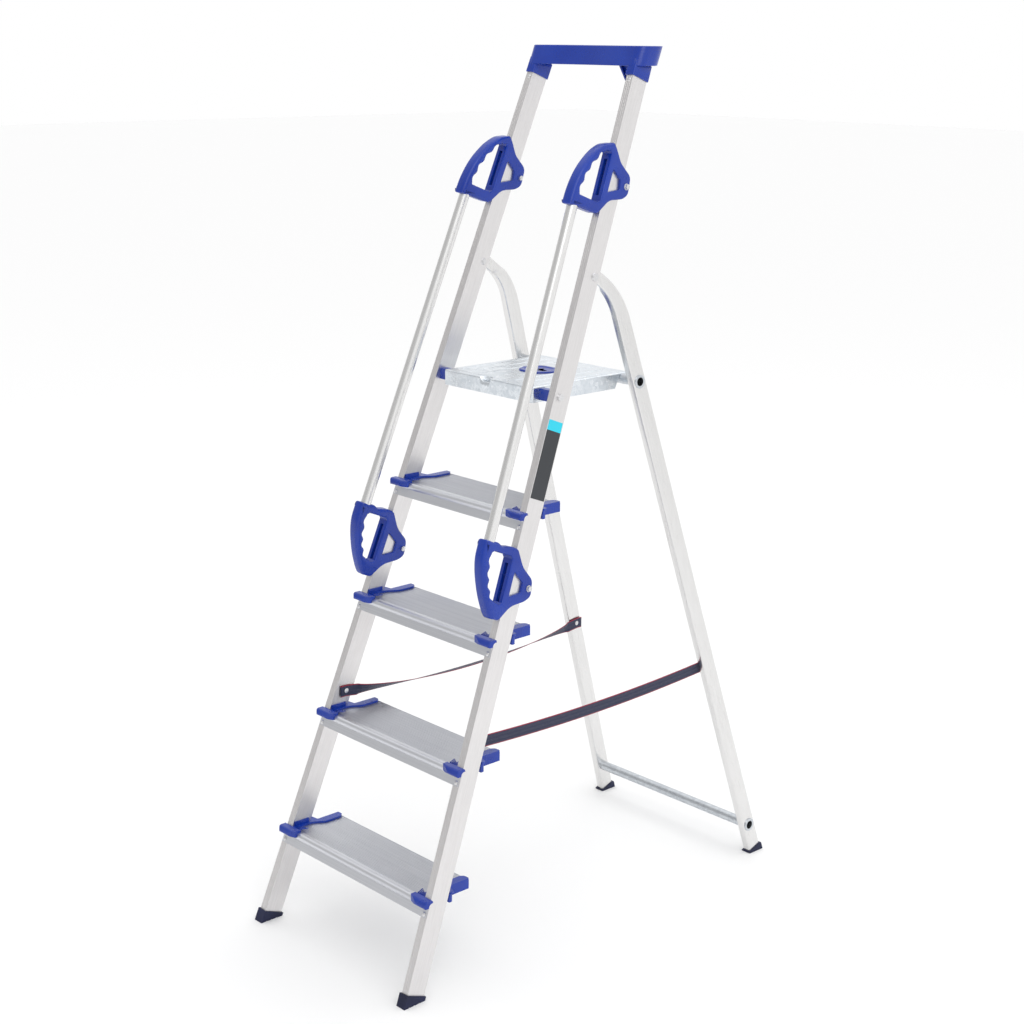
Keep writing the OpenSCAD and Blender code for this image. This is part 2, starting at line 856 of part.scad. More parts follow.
module rear_leg(side) {
    inner_x = leg_w - stile_wall;
    color(aluminium)
    difference() {
        in_leg(side)
        difference() {
            across(-leg_w, 0)
            leg_outline();
            translate([-inner_x, leg_offset - leg_d / 2 + stile_wall, leg_start - eps])
            cube([leg_w - 2 * stile_wall, leg_d - 2 * stile_wall, -leg_start - 140]);
        }
        on(side)
        translate([0, pivot_y, pivot_z])
        rotate([rear_lean + strip_turn, 0, 0])
        rotate([90, 0, 0])
        translate([0, 0, -80])
        linear_extrude(160)
        polygon([[0, 60], [tongue_x, 60], [tongue_x, -32], [tongue_x - 11, -52], [0, -52]]);
        on(side)
        translate([0, pivot_y, pivot_z])
        bar(0, base_half, pivot_r + running);
        on(side)
        translate([0, tube_y, tube_z])
        bar(0, base_half, tube_d / 2 + touch);
        on(side)
        translate([0, brace_y, brace_z])
        bar(0, base_half, tube_d / 2 + touch);
        on(side)
        translate([0, strap_rear_y, strap_z])
        bar(0, leg_outer(strap_z) - leg_w / 2, rivet_r + touch);
    }
}

// A tube through both legs with a flared ring against each outer face.
module flared_tube(y, z, half) {
    color(steel)
    difference() {
        union() {
            translate([0, y, z])
            bar(-half - 2.5, half + 2.5, tube_d / 2);
            for (side = [-1, 1])
                on(side)
                translate([half - 1.5, y, z])
                bar(0, 4, tube_d / 2 + 3.5);
        }
        translate([0, y, z])
        bar(-half - 10, half + 10, tube_d / 2 - tube_wall);
        for (side = [-1, 1])
            difference() {
                in_leg(side)
                translate([-leg_w, 0, leg_start])
                cube([leg_w, leg_offset + leg_d, -leg_start]);
                translate([0, y, z])
                bar(-2 * half, 2 * half, tube_d / 2);
            }
    }
}

module rear_foot(side) {
    near = leg_offset - leg_d / 2;
    color(navy)
    difference() {
        in_leg(side)
        union() {
            translate([-leg_w - foot_proud, near - foot_proud, leg_start - 30])
            cube([leg_w + 2 * foot_proud, leg_d + 2 * foot_proud, 30]);
            translate([stile_wall + loose - leg_w, near + stile_wall + loose, leg_start - 1])
            cube([leg_w - 2 * stile_wall - 2 * loose, leg_d - 2 * stile_wall - 2 * loose, 28]);
        }
        floor_cut();
    }
}

module rear_strap_rivets() {
    color(steel)
    for (side = [-1, 1])
        difference() {
            on(side)
            translate([strap_rear_x - strap_t, strap_rear_y, strap_z])
            union() {
                bar(0, strap_t + 9, rivet_r);
                rotate([0, -90, 0])
                dome(5, 2);
                bar(strap_t, strap_t + 4, 5);
            }
            difference() {
                in_leg(side)
                translate([-leg_w, 0, leg_start])
                cube([leg_w, leg_offset + leg_d, -leg_start]);
                on(side)
                translate([0, strap_rear_y, strap_z])
                bar(0, base_half, rivet_r);
            }
        }
}

// Straps.

// Webbing hanging in a shallow curve, turned on edge by an amount that peaks half way.
module strap(side, sag, turn) {
    tail = 16;
    steps = 24;
    skew = atan((strap_rear_x - strap_front_x) / strap_run);
    color(navy)
    on(side)
    difference() {
        translate([strap_front_x, strap_front_y, strap_z])
        rotate([0, 0, -skew])
        for (k = [0 : steps - 1]) {
            u0 = k / steps;
            u1 = (k + 1) / steps;
            mid = max(0, min(1, ((u0 + u1) * steps / 2 - 1) / (steps - 2)));
            drop0 = -4 * sag * u0 * (1 - u0);
            drop1 = -4 * sag * u1 * (1 - u1);
            y0 = strap_run * u0 - (k == 0 ? tail : 0.8);
            y1 = strap_run * u1 + (k == steps - 1 ? tail : 0.8);
            twist = turn * pow(sin(180 * mid), 0.6);
            translate([-strap_t / 2, (y0 + y1) / 2, (drop0 + drop1) / 2])
            rotate([atan2(drop1 - drop0, strap_run / steps), 0, 0])
            rotate([0, twist, 0])
            cube([strap_t - 2 * touch, y1 - y0, strap_w], center = true);
        }
        translate([0, strap_front_y, strap_z])
        bar(0, base_half, rivet_r + touch);
        translate([0, strap_rear_y, strap_z])
        bar(0, base_half, rivet_r + touch);
    }
}

stile(-1);  // left_stile
stile(1);  // right_stile
tread(0);  // tread_1
tread(1);  // tread_2
tread(2);  // tread_3
tread(3);  // tread_4
tread_cap(-1, 0);  // left_tread_cap_1
tread_cap(1, 0);  // right_tread_cap_1
tread_cap(-1, 1);  // left_tread_cap_2
tread_cap(1, 1);  // right_tread_cap_2
tread_cap(-1, 2);  // left_tread_cap_3
tread_cap(1, 2);  // right_tread_cap_3
tread_cap(-1, 3);  // left_tread_cap_4
tread_cap(1, 3);  // right_tread_cap_4
tread_rivets();
front_foot(-1);  // left_front_foot
front_foot(1);  // right_front_foot
tool_tray();
tray_screws();
handrail(-1);  // left_handrail
handrail(1);  // right_handrail
upper_bracket(-1);  // left_upper_bracket
upper_bracket(1);  // right_upper_bracket
lower_bracket(-1);  // left_lower_bracket
lower_bracket(1);  // right_lower_bracket
bracket_bolts();
bracket_nuts();
pivot_rivets();
pivot_spacers();
front_strap_rivets();
side_label();
platform_bolts();
platform_nuts();
platform_spacer(-1);  // left_platform_spacer
platform_spacer(1);  // right_platform_spacer
rear_leg(-1);  // left_rear_leg
rear_leg(1);  // right_rear_leg
flared_tube(tube_y, tube_z, tube_half);  // upper_cross_tube
flared_tube(brace_y, brace_z, brace_half);  // lower_brace
rear_foot(-1);  // left_rear_foot
rear_foot(1);  // right_rear_foot
rear_strap_rivets();
platform();
platform_grip_insert();
strap(-1, 24, 80);  // left_strap
strap(1, 12, 0);  // right_strap
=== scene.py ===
import math

import bmesh
import bpy
import numpy as np
from mathutils import Matrix, Vector
from mathutils.geometry import tessellate_polygon


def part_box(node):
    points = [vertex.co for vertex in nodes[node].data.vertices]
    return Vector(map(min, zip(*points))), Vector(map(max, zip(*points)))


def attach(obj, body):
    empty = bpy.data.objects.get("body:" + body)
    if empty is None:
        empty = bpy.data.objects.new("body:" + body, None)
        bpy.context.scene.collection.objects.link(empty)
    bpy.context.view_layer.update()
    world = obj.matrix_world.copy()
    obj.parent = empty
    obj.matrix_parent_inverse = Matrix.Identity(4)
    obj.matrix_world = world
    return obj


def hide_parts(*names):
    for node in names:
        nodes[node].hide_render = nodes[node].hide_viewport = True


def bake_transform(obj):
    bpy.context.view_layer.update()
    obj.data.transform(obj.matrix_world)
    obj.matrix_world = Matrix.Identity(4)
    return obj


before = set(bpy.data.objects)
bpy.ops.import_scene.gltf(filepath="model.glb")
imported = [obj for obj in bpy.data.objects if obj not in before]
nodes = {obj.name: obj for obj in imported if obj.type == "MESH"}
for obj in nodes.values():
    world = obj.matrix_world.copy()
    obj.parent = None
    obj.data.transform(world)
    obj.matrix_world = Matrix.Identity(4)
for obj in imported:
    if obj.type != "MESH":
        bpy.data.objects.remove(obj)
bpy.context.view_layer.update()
print("frame loaded,", len(nodes), "nodes")

# the ladder's own geometry, in metres and degrees; it repeats the part's sizes
ladder = {
    "frontY": -0.5125,
    "frontLean": math.radians(21.0),
    "frontHalf": 0.2352,
    "frontTaper": 0.0489,
    "stileWide": 0.017,
    "stileDeep": 0.042,
    "pivot": (0.024001, 1.31392),
    "rearTaper": 0.0526,
    "platformZ": 1.104,
    "sheet": 0.0015,
    "air": 0.0003,
    "tubeRadius": 0.0105,
    "height": 1.760,
    "baseDepth": 1.025,
}


def unit(v):
    return v / np.linalg.norm(v, axis=-1, keepdims=True)


def sideName(side):
    return "left" if side < 0 else "right"


def together(*values):
    return np.broadcast_arrays(*(np.asarray(v, float) for v in values))


# A point on the right stile: x outwards from its outer face, deep behind its front face, and along it.
def stilePoint(x, deep, along):
    lean = ladder["frontLean"]
    tilt = math.atan(ladder["frontTaper"] * math.cos(lean))
    x, deep, along = together(x, deep, along)
    wide = ladder["frontHalf"] + x * math.cos(tilt) - along * math.sin(tilt)
    up = x * math.sin(tilt) + along * math.cos(tilt)
    return np.stack([wide, ladder["frontY"] + deep * math.cos(lean) + up * math.sin(lean),
                     up * math.cos(lean) - deep * math.sin(lean)], -1)


def mirrored(points, side):
    return points * np.array([side, 1.0, 1.0])


def addPiece(name, verts, faces, material, uv=None):
    mesh = bpy.data.meshes.new(name)
    points = np.asarray(verts, float).reshape(-1, 3).tolist()
    mesh.from_pydata(points, [], [tuple(int(i) for i in f) for f in faces])
    mesh.validate()
    if uv is not None:
        layer = mesh.uv_layers.new(name="UVMap")
        index = np.zeros(len(mesh.loops), np.int32)
        mesh.loops.foreach_get("vertex_index", index)
        layer.data.foreach_set("uv", np.asarray(uv, np.float32).reshape(-1, 2)[index].ravel())
    mesh.polygons.foreach_set("use_smooth", [True] * len(mesh.polygons))
    mesh.materials.append(material)
    piece = bpy.data.objects.new(name, mesh)
    bpy.context.scene.collection.objects.link(piece)
    return piece


# Quads between neighbouring points of a rows by cols grid whose last column joins its first.
def gridFaces(rows, cols, start=0):
    r, c = np.meshgrid(np.arange(rows - 1), np.arange(cols), indexing="ij")
    after = (c + 1) % cols
    quads = np.stack([r * cols + c, r * cols + after, (r + 1) * cols + after, (r + 1) * cols + c], -1)
    return [tuple(q) for q in quads.reshape(-1, 4) + start]


# The quads of a tube and its two end faces.
def tubeFaces(rows, cols):
    return gridFaces(rows, cols) + [tuple(range(cols)), tuple(range((rows - 1) * cols, rows * cols))]


# Turns a closed piece's faces outwards.
def outwards(piece):
    work = bmesh.new()
    work.from_mesh(piece.data)
    bmesh.ops.recalc_face_normals(work, faces=work.faces)
    work.to_mesh(piece.data)
    work.free()
    return piece


# A closed outline whose corners (x, y, cut) are replaced by a curve that starts that far before each corner.
def easedOutline(corners, steps=5):
    c = np.array([p[:2] for p in corners], float)
    cut = np.array([p[2] for p in corners], float)
    back = unit(np.roll(c, 1, 0) - c)
    ahead = unit(np.roll(c, -1, 0) - c)
    t = np.linspace(0, 1, steps + 1)[None, :, None]
    start = (c + back * cut[:, None])[:, None]
    end = (c + ahead * cut[:, None])[:, None]
    curve = (1 - t) ** 2 * start + 2 * t * (1 - t) * c[:, None] + t ** 2 * end
    return np.concatenate([curve[i] if cut[i] > 0 else c[i:i + 1] for i in range(len(c))])


# A curve from a to b drawn towards c, scooped out by a raised cosine once for each finger.
def fingerEdge(a, c, b, fingers=4, scoop=0.005, n=40):
    a, b, c = (np.array(v, float) for v in (a, b, c))
    t = np.linspace(0, 1, n + 1)[:, None]
    p = (1 - t) ** 2 * a + 2 * t * (1 - t) * c + t ** 2 * b
    d = unit((1 - t) * (c - a) + t * (b - c))
    return p + scoop * (1 - np.cos(2 * math.pi * fingers * t)) / 2 * np.stack([-d[:, 1], d[:, 0]], -1)


# Unit normals of a closed outline, pointing away from its inside when it runs anticlockwise.
def outlineNormal(points):
    d = unit(np.roll(points, -1, 0) - np.roll(points, 1, 0))
    return np.stack([d[:, 1], -d[:, 0]], -1)


# A plate between -halfThick and halfThick with rounded edges.
# rings[0] is the outer outline, anticlockwise, the others are windows, clockwise. Each wall is the
# outline moved inwards by radius (1 - sin a) while it rises by radius (1 - cos a).
def roundedPlate(rings, radii, halfThick, steps=7):
    angle = np.linspace(0, math.pi / 2, steps)[:, None]
    verts, faces, caps = [], [], []
    start = 0
    for ring, radius in zip(rings, radii):
        r = np.asarray(radius, float)[None]
        inset = np.concatenate([r * (1 - np.sin(angle)), r * (1 - np.sin(angle[::-1]))])
        level = np.concatenate([-halfThick + r * (1 - np.cos(angle)),
                                halfThick - r * (1 - np.cos(angle[::-1]))])
        flat = ring[None] - outlineNormal(ring)[None] * inset[..., None]
        verts.append(np.concatenate([level[..., None], flat], -1).reshape(-1, 3))
        faces += gridFaces(len(level), len(ring), start)
        caps.append((start, start + (len(level) - 1) * len(ring), len(ring), flat[0]))
        start += len(verts[-1])
    order = np.concatenate([np.arange(s, s + n) for s, _, n, _ in caps])
    orderTop = np.concatenate([np.arange(e, e + n) for _, e, n, _ in caps])
    tris = tessellate_polygon([[Vector((p[0], p[1], 0)) for p in first] for _, _, _, first in caps])
    faces += [(order[a], order[c], order[b]) for a, b, c in tris]
    faces += [(orderTop[a], orderTop[b], orderTop[c]) for a, b, c in tris]
    return np.concatenate(verts), faces


def newGroup(name, inputs, outputs):
    group = bpy.data.node_groups.new(name, "ShaderNodeTree")
    for label, kind, value in inputs:
        socket = group.interface.new_socket(label, in_out="INPUT", socket_type=kind)
        if value is not None:
            socket.default_value = value
    for label, kind in outputs:
        group.interface.new_socket(label, in_out="OUTPUT", socket_type=kind)
    return group, group.nodes.new("NodeGroupInput"), group.nodes.new("NodeGroupOutput")


def node(tree, kind, settings=None, **inputs):
    n = tree.nodes.new(kind)
    for key, value in (settings or {}).items():
        setattr(n, key, value)
    for key, value in inputs.items():
        numbered = key[0] == "i" and key[1:].isdigit()
        socket = n.inputs[int(key[1:]) if numbered else key.replace("_", " ")]
        if hasattr(value, "is_output"):
            tree.links.new(value, socket)
        else:
            socket.default_value = value
    return n


# One math node; values are numbers or other nodes' outputs.
def maths(tree, operation, *values):
    inputs = {"i" + str(k): value for k, value in enumerate(values)}
    return node(tree, "ShaderNodeMath", {"operation": operation}, **inputs).outputs[0]


# Long streaks left by drawing or rolling: noise stretched along the piece's length.
def drawnLinesGroup():
    group, gin, out = newGroup("drawnLines", [
        ("Vector", "NodeSocketVector", None), ("Across", "NodeSocketFloat", 400.0),
        ("Along", "NodeSocketFloat", 4.0), ("Depth", "NodeSocketFloat", 0.2)],
        [("Streak", "NodeSocketFloat"), ("Normal", "NodeSocketVector")])
    scale = node(group, "ShaderNodeCombineXYZ", None, X=gin.outputs["Across"], Y=gin.outputs["Across"],
                 Z=gin.outputs["Along"])
    stretched = node(group, "ShaderNodeVectorMath", {"operation": "MULTIPLY"}, i0=gin.outputs["Vector"],
                     i1=scale.outputs[0])
    noise = node(group, "ShaderNodeTexNoise", None, Vector=stretched.outputs[0], Scale=1.0, Detail=3.0,
                 Roughness=0.6)
    bump = node(group, "ShaderNodeBump", None, Strength=gin.outputs["Depth"], Distance=0.0004,
                Height=noise.outputs["Fac"])
    group.links.new(noise.outputs["Fac"], out.inputs["Streak"])
    group.links.new(bump.outputs["Normal"], out.inputs["Normal"])
    return group


# Uneven sheen from handling: broad clouds, and thin scratches where two stretched noises pass a level.
def handlingGroup():
    group, gin, out = newGroup("handling", [
        ("Vector", "NodeSocketVector", None), ("Size", "NodeSocketFloat", 6.0),
        ("Scratches", "NodeSocketFloat", 0.3)],
        [("Clouds", "NodeSocketFloat"), ("Scratch", "NodeSocketFloat")])
    clouds = node(group, "ShaderNodeTexNoise", None, Vector=gin.outputs["Vector"],
                  Scale=gin.outputs["Size"], Detail=4.0)
    turned = node(group, "ShaderNodeMapping", None, Vector=gin.outputs["Vector"], Rotation=(0.4, 0.7, 0.3),
                  Scale=(60, 60, 3))
    fine = node(group, "ShaderNodeTexNoise", None, Vector=turned.outputs[0], Scale=4.0, Detail=2.0,
                Roughness=0.7)
    line = node(group, "ShaderNodeMapRange", None, Value=fine.outputs["Fac"], i1=0.66, i2=0.74)
    scratch = maths(group, "MULTIPLY", line.outputs[0], gin.outputs["Scratches"])
    group.links.new(clouds.outputs["Fac"], out.inputs["Clouds"])
    group.links.new(scratch, out.inputs["Scratch"])
    return group


# Zinc spangle: voronoi cells of slightly different grey, with a fine grain over them.
def spangleGroup():
    group, gin, out = newGroup("spangle", [
        ("Vector", "NodeSocketVector", None), ("Cell", "NodeSocketFloat", 120.0)],
        [("Shade", "NodeSocketFloat"), ("Normal", "NodeSocketVector")])
    cells = node(group, "ShaderNodeTexVoronoi", None, Vector=gin.outputs["Vector"], Scale=gin.outputs["Cell"])
    split = node(group, "ShaderNodeSeparateColor", None, Color=cells.outputs["Color"])
    grain = node(group, "ShaderNodeTexNoise", None, Vector=gin.outputs["Vector"], Scale=900.0, Detail=2.0)
    both = maths(group, "MULTIPLY_ADD", split.outputs[0], 0.6, grain.outputs["Fac"])
    bump = node(group, "ShaderNodeBump", None, Strength=0.12, Distance=0.0003, Height=both)
    group.links.new(both, out.inputs["Shade"])
    group.links.new(bump.outputs["Normal"], out.inputs["Normal"])
    return group


# Moulded skin: a very fine pebble and slow waves of the melt.
def mouldGroup():
    group, gin, out = newGroup("mouldedSkin", [
        ("Vector", "NodeSocketVector", None), ("Grain", "NodeSocketFloat", 900.0),
        ("Depth", "NodeSocketFloat", 0.1)],
        [("Pebble", "NodeSocketFloat"), ("Wave", "NodeSocketFloat"), ("Normal", "NodeSocketVector")])
    pebble = node(group, "ShaderNodeTexNoise", None, Vector=gin.outputs["Vector"],
                  Scale=gin.outputs["Grain"], Detail=2.0)
    wave = node(group, "ShaderNodeTexNoise", None, Vector=gin.outputs["Vector"], Scale=14.0, Detail=1.0)
    bump = node(group, "ShaderNodeBump", None, Strength=gin.outputs["Depth"], Distance=0.0003,
                Height=pebble.outputs["Fac"])
    group.links.new(pebble.outputs["Fac"], out.inputs["Pebble"])
    group.links.new(wave.outputs["Fac"], out.inputs["Wave"])
    group.links.new(bump.outputs["Normal"], out.inputs["Normal"])
    return group


groups = {"drawn": drawnLinesGroup(), "handling": handlingGroup(), "spangle": spangleGroup(),
          "mould": mouldGroup()}


def place(tree, key, **inputs):
    n = tree.nodes.new("ShaderNodeGroup")
    n.node_tree = groups[key]
    for name, value in inputs.items():
        if hasattr(value, "is_output"):
            tree.links.new(value, n.inputs[name])
        else:
            n.inputs[name].default_value = value
    return n


def startMaterial(name, **shaderValues):
    material = bpy.data.materials.new(name)
    material.use_nodes = True
    tree = material.node_tree
    shader = tree.nodes["Principled BSDF"]
    for key, value in shaderValues.items():
        shader.inputs[key.replace("_", " ")].default_value = value
    return material, tree, shader


def turnedCoords(tree, turn):
    coords = tree.nodes.new("ShaderNodeTexCoord")
    return node(tree, "ShaderNodeMapping", None, Vector=coords.outputs["Object"], Rotation=turn).outputs[0]


def ramp(tree, value, low, high, toLow, toHigh):
    mapped = node(tree, "ShaderNodeMapRange", None, Value=value, i1=low, i2=high, i3=toLow, i4=toHigh)
    return mapped.outputs[0]


# A colour between dark and light; each is a colour or another node's output.
def shades(tree, value, dark, light):
    dark, light = (c if hasattr(c, "is_output") else (*c, 1) for c in (dark, light))
    return node(tree, "ShaderNodeMix", {"data_type": "RGBA"}, i0=value, i6=dark, i7=light).outputs[2]


# Joins a colour, a roughness that scratches raise, and a normal to the shader.
def wire(tree, shader, colour, rough, scratch, normal):
    tree.links.new(colour, shader.inputs["Base Color"])
    tree.links.new(maths(tree, "MULTIPLY_ADD", scratch[0], scratch[1], rough), shader.inputs["Roughness"])
    tree.links.new(normal, shader.inputs["Normal"])


# Metal with lengthwise streaks in its colour, roughness and bump.
def metalMaterial(name, dark, light, rough, turn=(0, 0, 0), across=500.0, along=3.0, depth=0.12):
    material, tree, shader = startMaterial(name, Metallic=1.0)
    coords = turnedCoords(tree, turn)
    lines = place(tree, "drawn", Vector=coords, Across=across, Along=along, Depth=depth)
    worn = place(tree, "handling", Vector=coords, Size=5.0, Scratches=0.25)
    mixed = maths(tree, "MULTIPLY_ADD", worn.outputs["Clouds"], 0.5, lines.outputs["Streak"])
    colour = shades(tree, ramp(tree, mixed, 0.4, 1.1, 0.0, 1.0), dark, light)
    base = ramp(tree, mixed, 0.4, 1.1, rough + 0.07, rough - 0.05)
    wire(tree, shader, colour, base, (worn.outputs["Scratch"], 0.3), lines.outputs["Normal"])
    return material


# Galvanised sheet: spangle over uneven grey.
def zincMaterial(name, dark, light, rough, cell=120.0):
    material, tree, shader = startMaterial(name, Metallic=1.0)
    coords = turnedCoords(tree, (0, 0, 0))
    zinc = place(tree, "spangle", Vector=coords, Cell=cell)
    worn = place(tree, "handling", Vector=coords, Size=9.0, Scratches=0.5)
    mixed = maths(tree, "MULTIPLY_ADD", worn.outputs["Clouds"], 0.8, zinc.outputs["Shade"])
    colour = shades(tree, ramp(tree, mixed, 0.6, 1.5, 0.0, 1.0), dark, light)
    base = ramp(tree, mixed, 0.6, 1.5, rough + 0.08, rough - 0.06)
    wire(tree, shader, colour, base, (worn.outputs["Scratch"], 0.2), zinc.outputs["Normal"])
    return material


# Moulded plastic: colour drifting with the melt, a faint pebble, scuffs that dull the gloss.
def plasticMaterial(name, dark, light, rough, grain=900.0, depth=0.06, specular=0.5):
    material, tree, shader = startMaterial(name, Metallic=0.0, Specular_IOR_Level=specular)
    coords = turnedCoords(tree, (0, 0, 0))
    skin = place(tree, "mould", Vector=coords, Grain=grain, Depth=depth)
    worn = place(tree, "handling", Vector=coords, Size=18.0, Scratches=0.6)
    colour = shades(tree, ramp(tree, skin.outputs["Wave"], 0.3, 0.7, 0.0, 1.0), dark, light)
    base = ramp(tree, worn.outputs["Clouds"], 0.3, 0.7, rough - 0.04, rough + 0.07)
    wire(tree, shader, colour, base, (worn.outputs["Scratch"], 0.35), skin.outputs["Normal"])
    return material


labelFilm = {"dark": (0.012, 0.015, 0.02), "darkLight": (0.02, 0.024, 0.032), "band": (0.0, 0.62, 0.80),
             "bandFrom": 0.9225, "grain": 1500.0, "coat": 0.3}


# Printed film: a coloured band over a dark field, split by height along the stile.
def labelMaterial(settings):
    material, tree, shader = startMaterial("labelFilm", Metallic=0.0, Coat_Weight=settings["coat"])
    slope = turnedCoords(tree, (ladder["frontLean"], 0, 0))
    height = node(tree, "ShaderNodeSeparateXYZ", None, Vector=slope).outputs[2]
    band = maths(tree, "GREATER_THAN", height, settings["bandFrom"])
    mould = place(tree, "mould", Vector=slope, Grain=settings["grain"], Depth=0.04)
    field = shades(tree, mould.outputs["Wave"], settings["dark"], settings["darkLight"])
    tree.links.new(shades(tree, band, field, settings["band"]), shader.inputs["Base Color"])
    tree.links.new(ramp(tree, mould.outputs["Pebble"], 0.3, 0.7, 0.28, 0.4), shader.inputs["Roughness"])
    tree.links.new(mould.outputs["Normal"], shader.inputs["Normal"])
    return material


webbing = {"dark": (0.006, 0.008, 0.03), "light": (0.02, 0.026, 0.085), "edge": (0.32, 0.01, 0.04),
           "edgeFrom": 0.0102, "herring": 0.004, "pitch": 0.0022, "rough": 0.85, "sheen": 0.25}


# Woven webbing on its own UV map, u across and v along in metres: a wave along v that slants one way and
# then the other as u goes up and down, and coloured edges.
def webbingMaterial(settings):
    material, tree, shader = startMaterial("webbing", Metallic=0.0, Roughness=settings["rough"],
                                           Sheen_Weight=settings["sheen"])
    coords = tree.nodes.new("ShaderNodeTexCoord")
    axes = node(tree, "ShaderNodeSeparateXYZ", None, Vector=coords.outputs["UV"])
    across, along = axes.outputs[0], axes.outputs[1]
    slant = maths(tree, "ADD", maths(tree, "PINGPONG", across, settings["herring"]), along)
    wave = maths(tree, "SINE", maths(tree, "MULTIPLY", slant, 2 * math.pi / settings["pitch"]))
    edge = maths(tree, "GREATER_THAN", maths(tree, "ABSOLUTE", across), settings["edgeFrom"])
    weave = shades(tree, ramp(tree, wave, -1, 1, 0, 1), settings["dark"], settings["light"])
    tree.links.new(shades(tree, edge, weave, settings["edge"]), shader.inputs["Base Color"])
    bump = node(tree, "ShaderNodeBump", None, Strength=0.5, Distance=0.0004, Height=wave)
    tree.links.new(bump.outputs["Normal"], shader.inputs["Normal"])
    return material


lean = ladder["frontLean"]
legTurn = -math.radians(17.5)
materials = {
    "stile": metalMaterial("satinAluminium", (0.70, 0.685, 0.685), (0.80, 0.785, 0.785), 0.34, (lean, 0, 0),
                           depth=0.1),
    "tread": metalMaterial("ribbedAluminium", (0.60, 0.61, 0.65), (0.74, 0.75, 0.78), 0.36,
                           (0, math.pi / 2, 0)),
    "rail": metalMaterial("railAluminium", (0.74, 0.735, 0.73), (0.84, 0.835, 0.83), 0.26, (lean, 0, 0)),
    "leg": metalMaterial("polishedAluminium", (0.70, 0.695, 0.69), (0.81, 0.805, 0.80), 0.24,
                         (legTurn, 0, 0)),
    "zinc": zincMaterial("galvanisedSheet", (0.60, 0.65, 0.70), (0.80, 0.84, 0.88), 0.3),
    "brace": zincMaterial("zincTube", (0.45, 0.48, 0.52), (0.6, 0.63, 0.66), 0.34, cell=160.0),
    "fixing": metalMaterial("zincFixings", (0.62, 0.62, 0.63), (0.78, 0.78, 0.79), 0.3, across=300.0,
                            along=300.0),
    "blue": plasticMaterial("bluePlastic", (0.002, 0.028, 0.30), (0.003, 0.038, 0.36), 0.26),
    "rubber": plasticMaterial("navyRubber", (0.006, 0.009, 0.035), (0.012, 0.016, 0.06), 0.55, grain=600.0,
                              depth=0.2, specular=0.35),
    # painted shade: the pivot spacers get a near-black colour, though they are blue plastic that looks dark
    # only where it lies in shadow
    "bush": plasticMaterial("darkBush", (0.01, 0.01, 0.015), (0.02, 0.02, 0.03), 0.45, grain=700.0,
                            depth=0.15, specular=0.4),
    "label": labelMaterial(labelFilm),
    "webbing": webbingMaterial(webbing),
}
print("materials built")

nodeFinish = {
    "stile": ["left_stile", "right_stile"],
    "tread": ["tread_1", "tread_2", "tread_3", "tread_4"],
    "rail": ["left_handrail", "right_handrail"],
    "leg": ["left_rear_leg", "right_rear_leg"],
    "zinc": ["platform"],
    "brace": ["upper_cross_tube", "lower_brace"],
    "fixing": ["tread_rivets", "tray_screws", "bracket_bolts", "bracket_nuts", "pivot_rivets",
               "front_strap_rivets", "rear_strap_rivets", "platform_bolts", "platform_nuts"],
    "rubber": ["left_front_foot", "right_front_foot", "left_rear_foot", "right_rear_foot"],
    "bush": ["pivot_spacers"],
    "label": ["side_label"],
    "webbing": ["left_strap", "right_strap"],
}
listed = {n for names in nodeFinish.values() for n in names}
nodeFinish["blue"] = [n for n in nodes if n not in listed]
for key, names in nodeFinish.items():
    for n in names:
        nodes[n].data.materials.clear()
        nodes[n].data.materials.append(materials[key])
print("frame finished")

shot = {"azimuth": 46.95, "elevation": 9.419, "roll": 0.521, "place": (2.66377, -2.51709, 1.77730),
        "lens": 64.483, "sensor": 36.0, "shiftX": -0.00286, "shiftY": -0.16769, "clipEnd": 60}


def makeCamera(settings):
    az, el, roll = (math.radians(settings[k]) for k in ("azimuth", "elevation", "roll"))
    ahead = np.array([-math.sin(az) * math.cos(el), math.cos(az) * math.cos(el), -math.sin(el)])
    right = np.array([math.cos(az), math.sin(az), 0.0])
    up = np.cross(right, ahead)
    r = math.cos(roll) * right + math.sin(roll) * up
    u = -math.sin(roll) * right + math.cos(roll) * up
    data = bpy.data.cameras.new("camera")
    data.lens = settings["lens"]
    data.sensor_width = settings["sensor"]
    data.shift_x = settings["shiftX"]
    data.shift_y = settings["shiftY"]
    data.clip_end = settings["clipEnd"]
    camera = bpy.data.objects.new("camera", data)
    turn = Matrix((r, u, -ahead)).transposed().to_4x4()
    camera.matrix_world = Matrix.Translation(settings["place"]) @ turn
    bpy.context.scene.collection.objects.link(camera)
    bpy.context.scene.camera = camera


def makeLight(name, place, target, size, power):
    data = bpy.data.lights.new(name, "AREA")
    data.shape = "RECTANGLE"
    data.size, data.size_y = size
    data.energy = power
    light = bpy.data.objects.new(name, data)
    light.location = place
    light.rotation_euler = (Vector(target) - Vector(place)).to_track_quat("-Z", "Y").to_euler()
    bpy.context.scene.collection.objects.link(light)


studio = {"floor": 0.93, "floorRough": 0.9, "floorHalf": 30, "darkWay": (-0.45, -0.89, 0.0), "dark": 0.58,
          "level": 1.0, "overhead": 0.30, "view": "Standard"}


def makeFloor(settings):
    grey, half = settings["floor"], settings["floorHalf"]
    material, _, shader = startMaterial("paleFloor", Roughness=settings["floorRough"])
    shader.inputs["Base Color"].default_value = (grey, grey, grey, 1)
    mesh = bpy.data.meshes.new("floor")
    corners = [(-half, -half, 0), (half, -half, 0), (half, half, 0), (-half, half, 0)]
    mesh.from_pydata(corners, [], [(0, 1, 2, 3)])
    mesh.materials.append(material)
    floor = bpy.data.objects.new("floor", mesh)
    bpy.context.scene.collection.objects.link(floor)


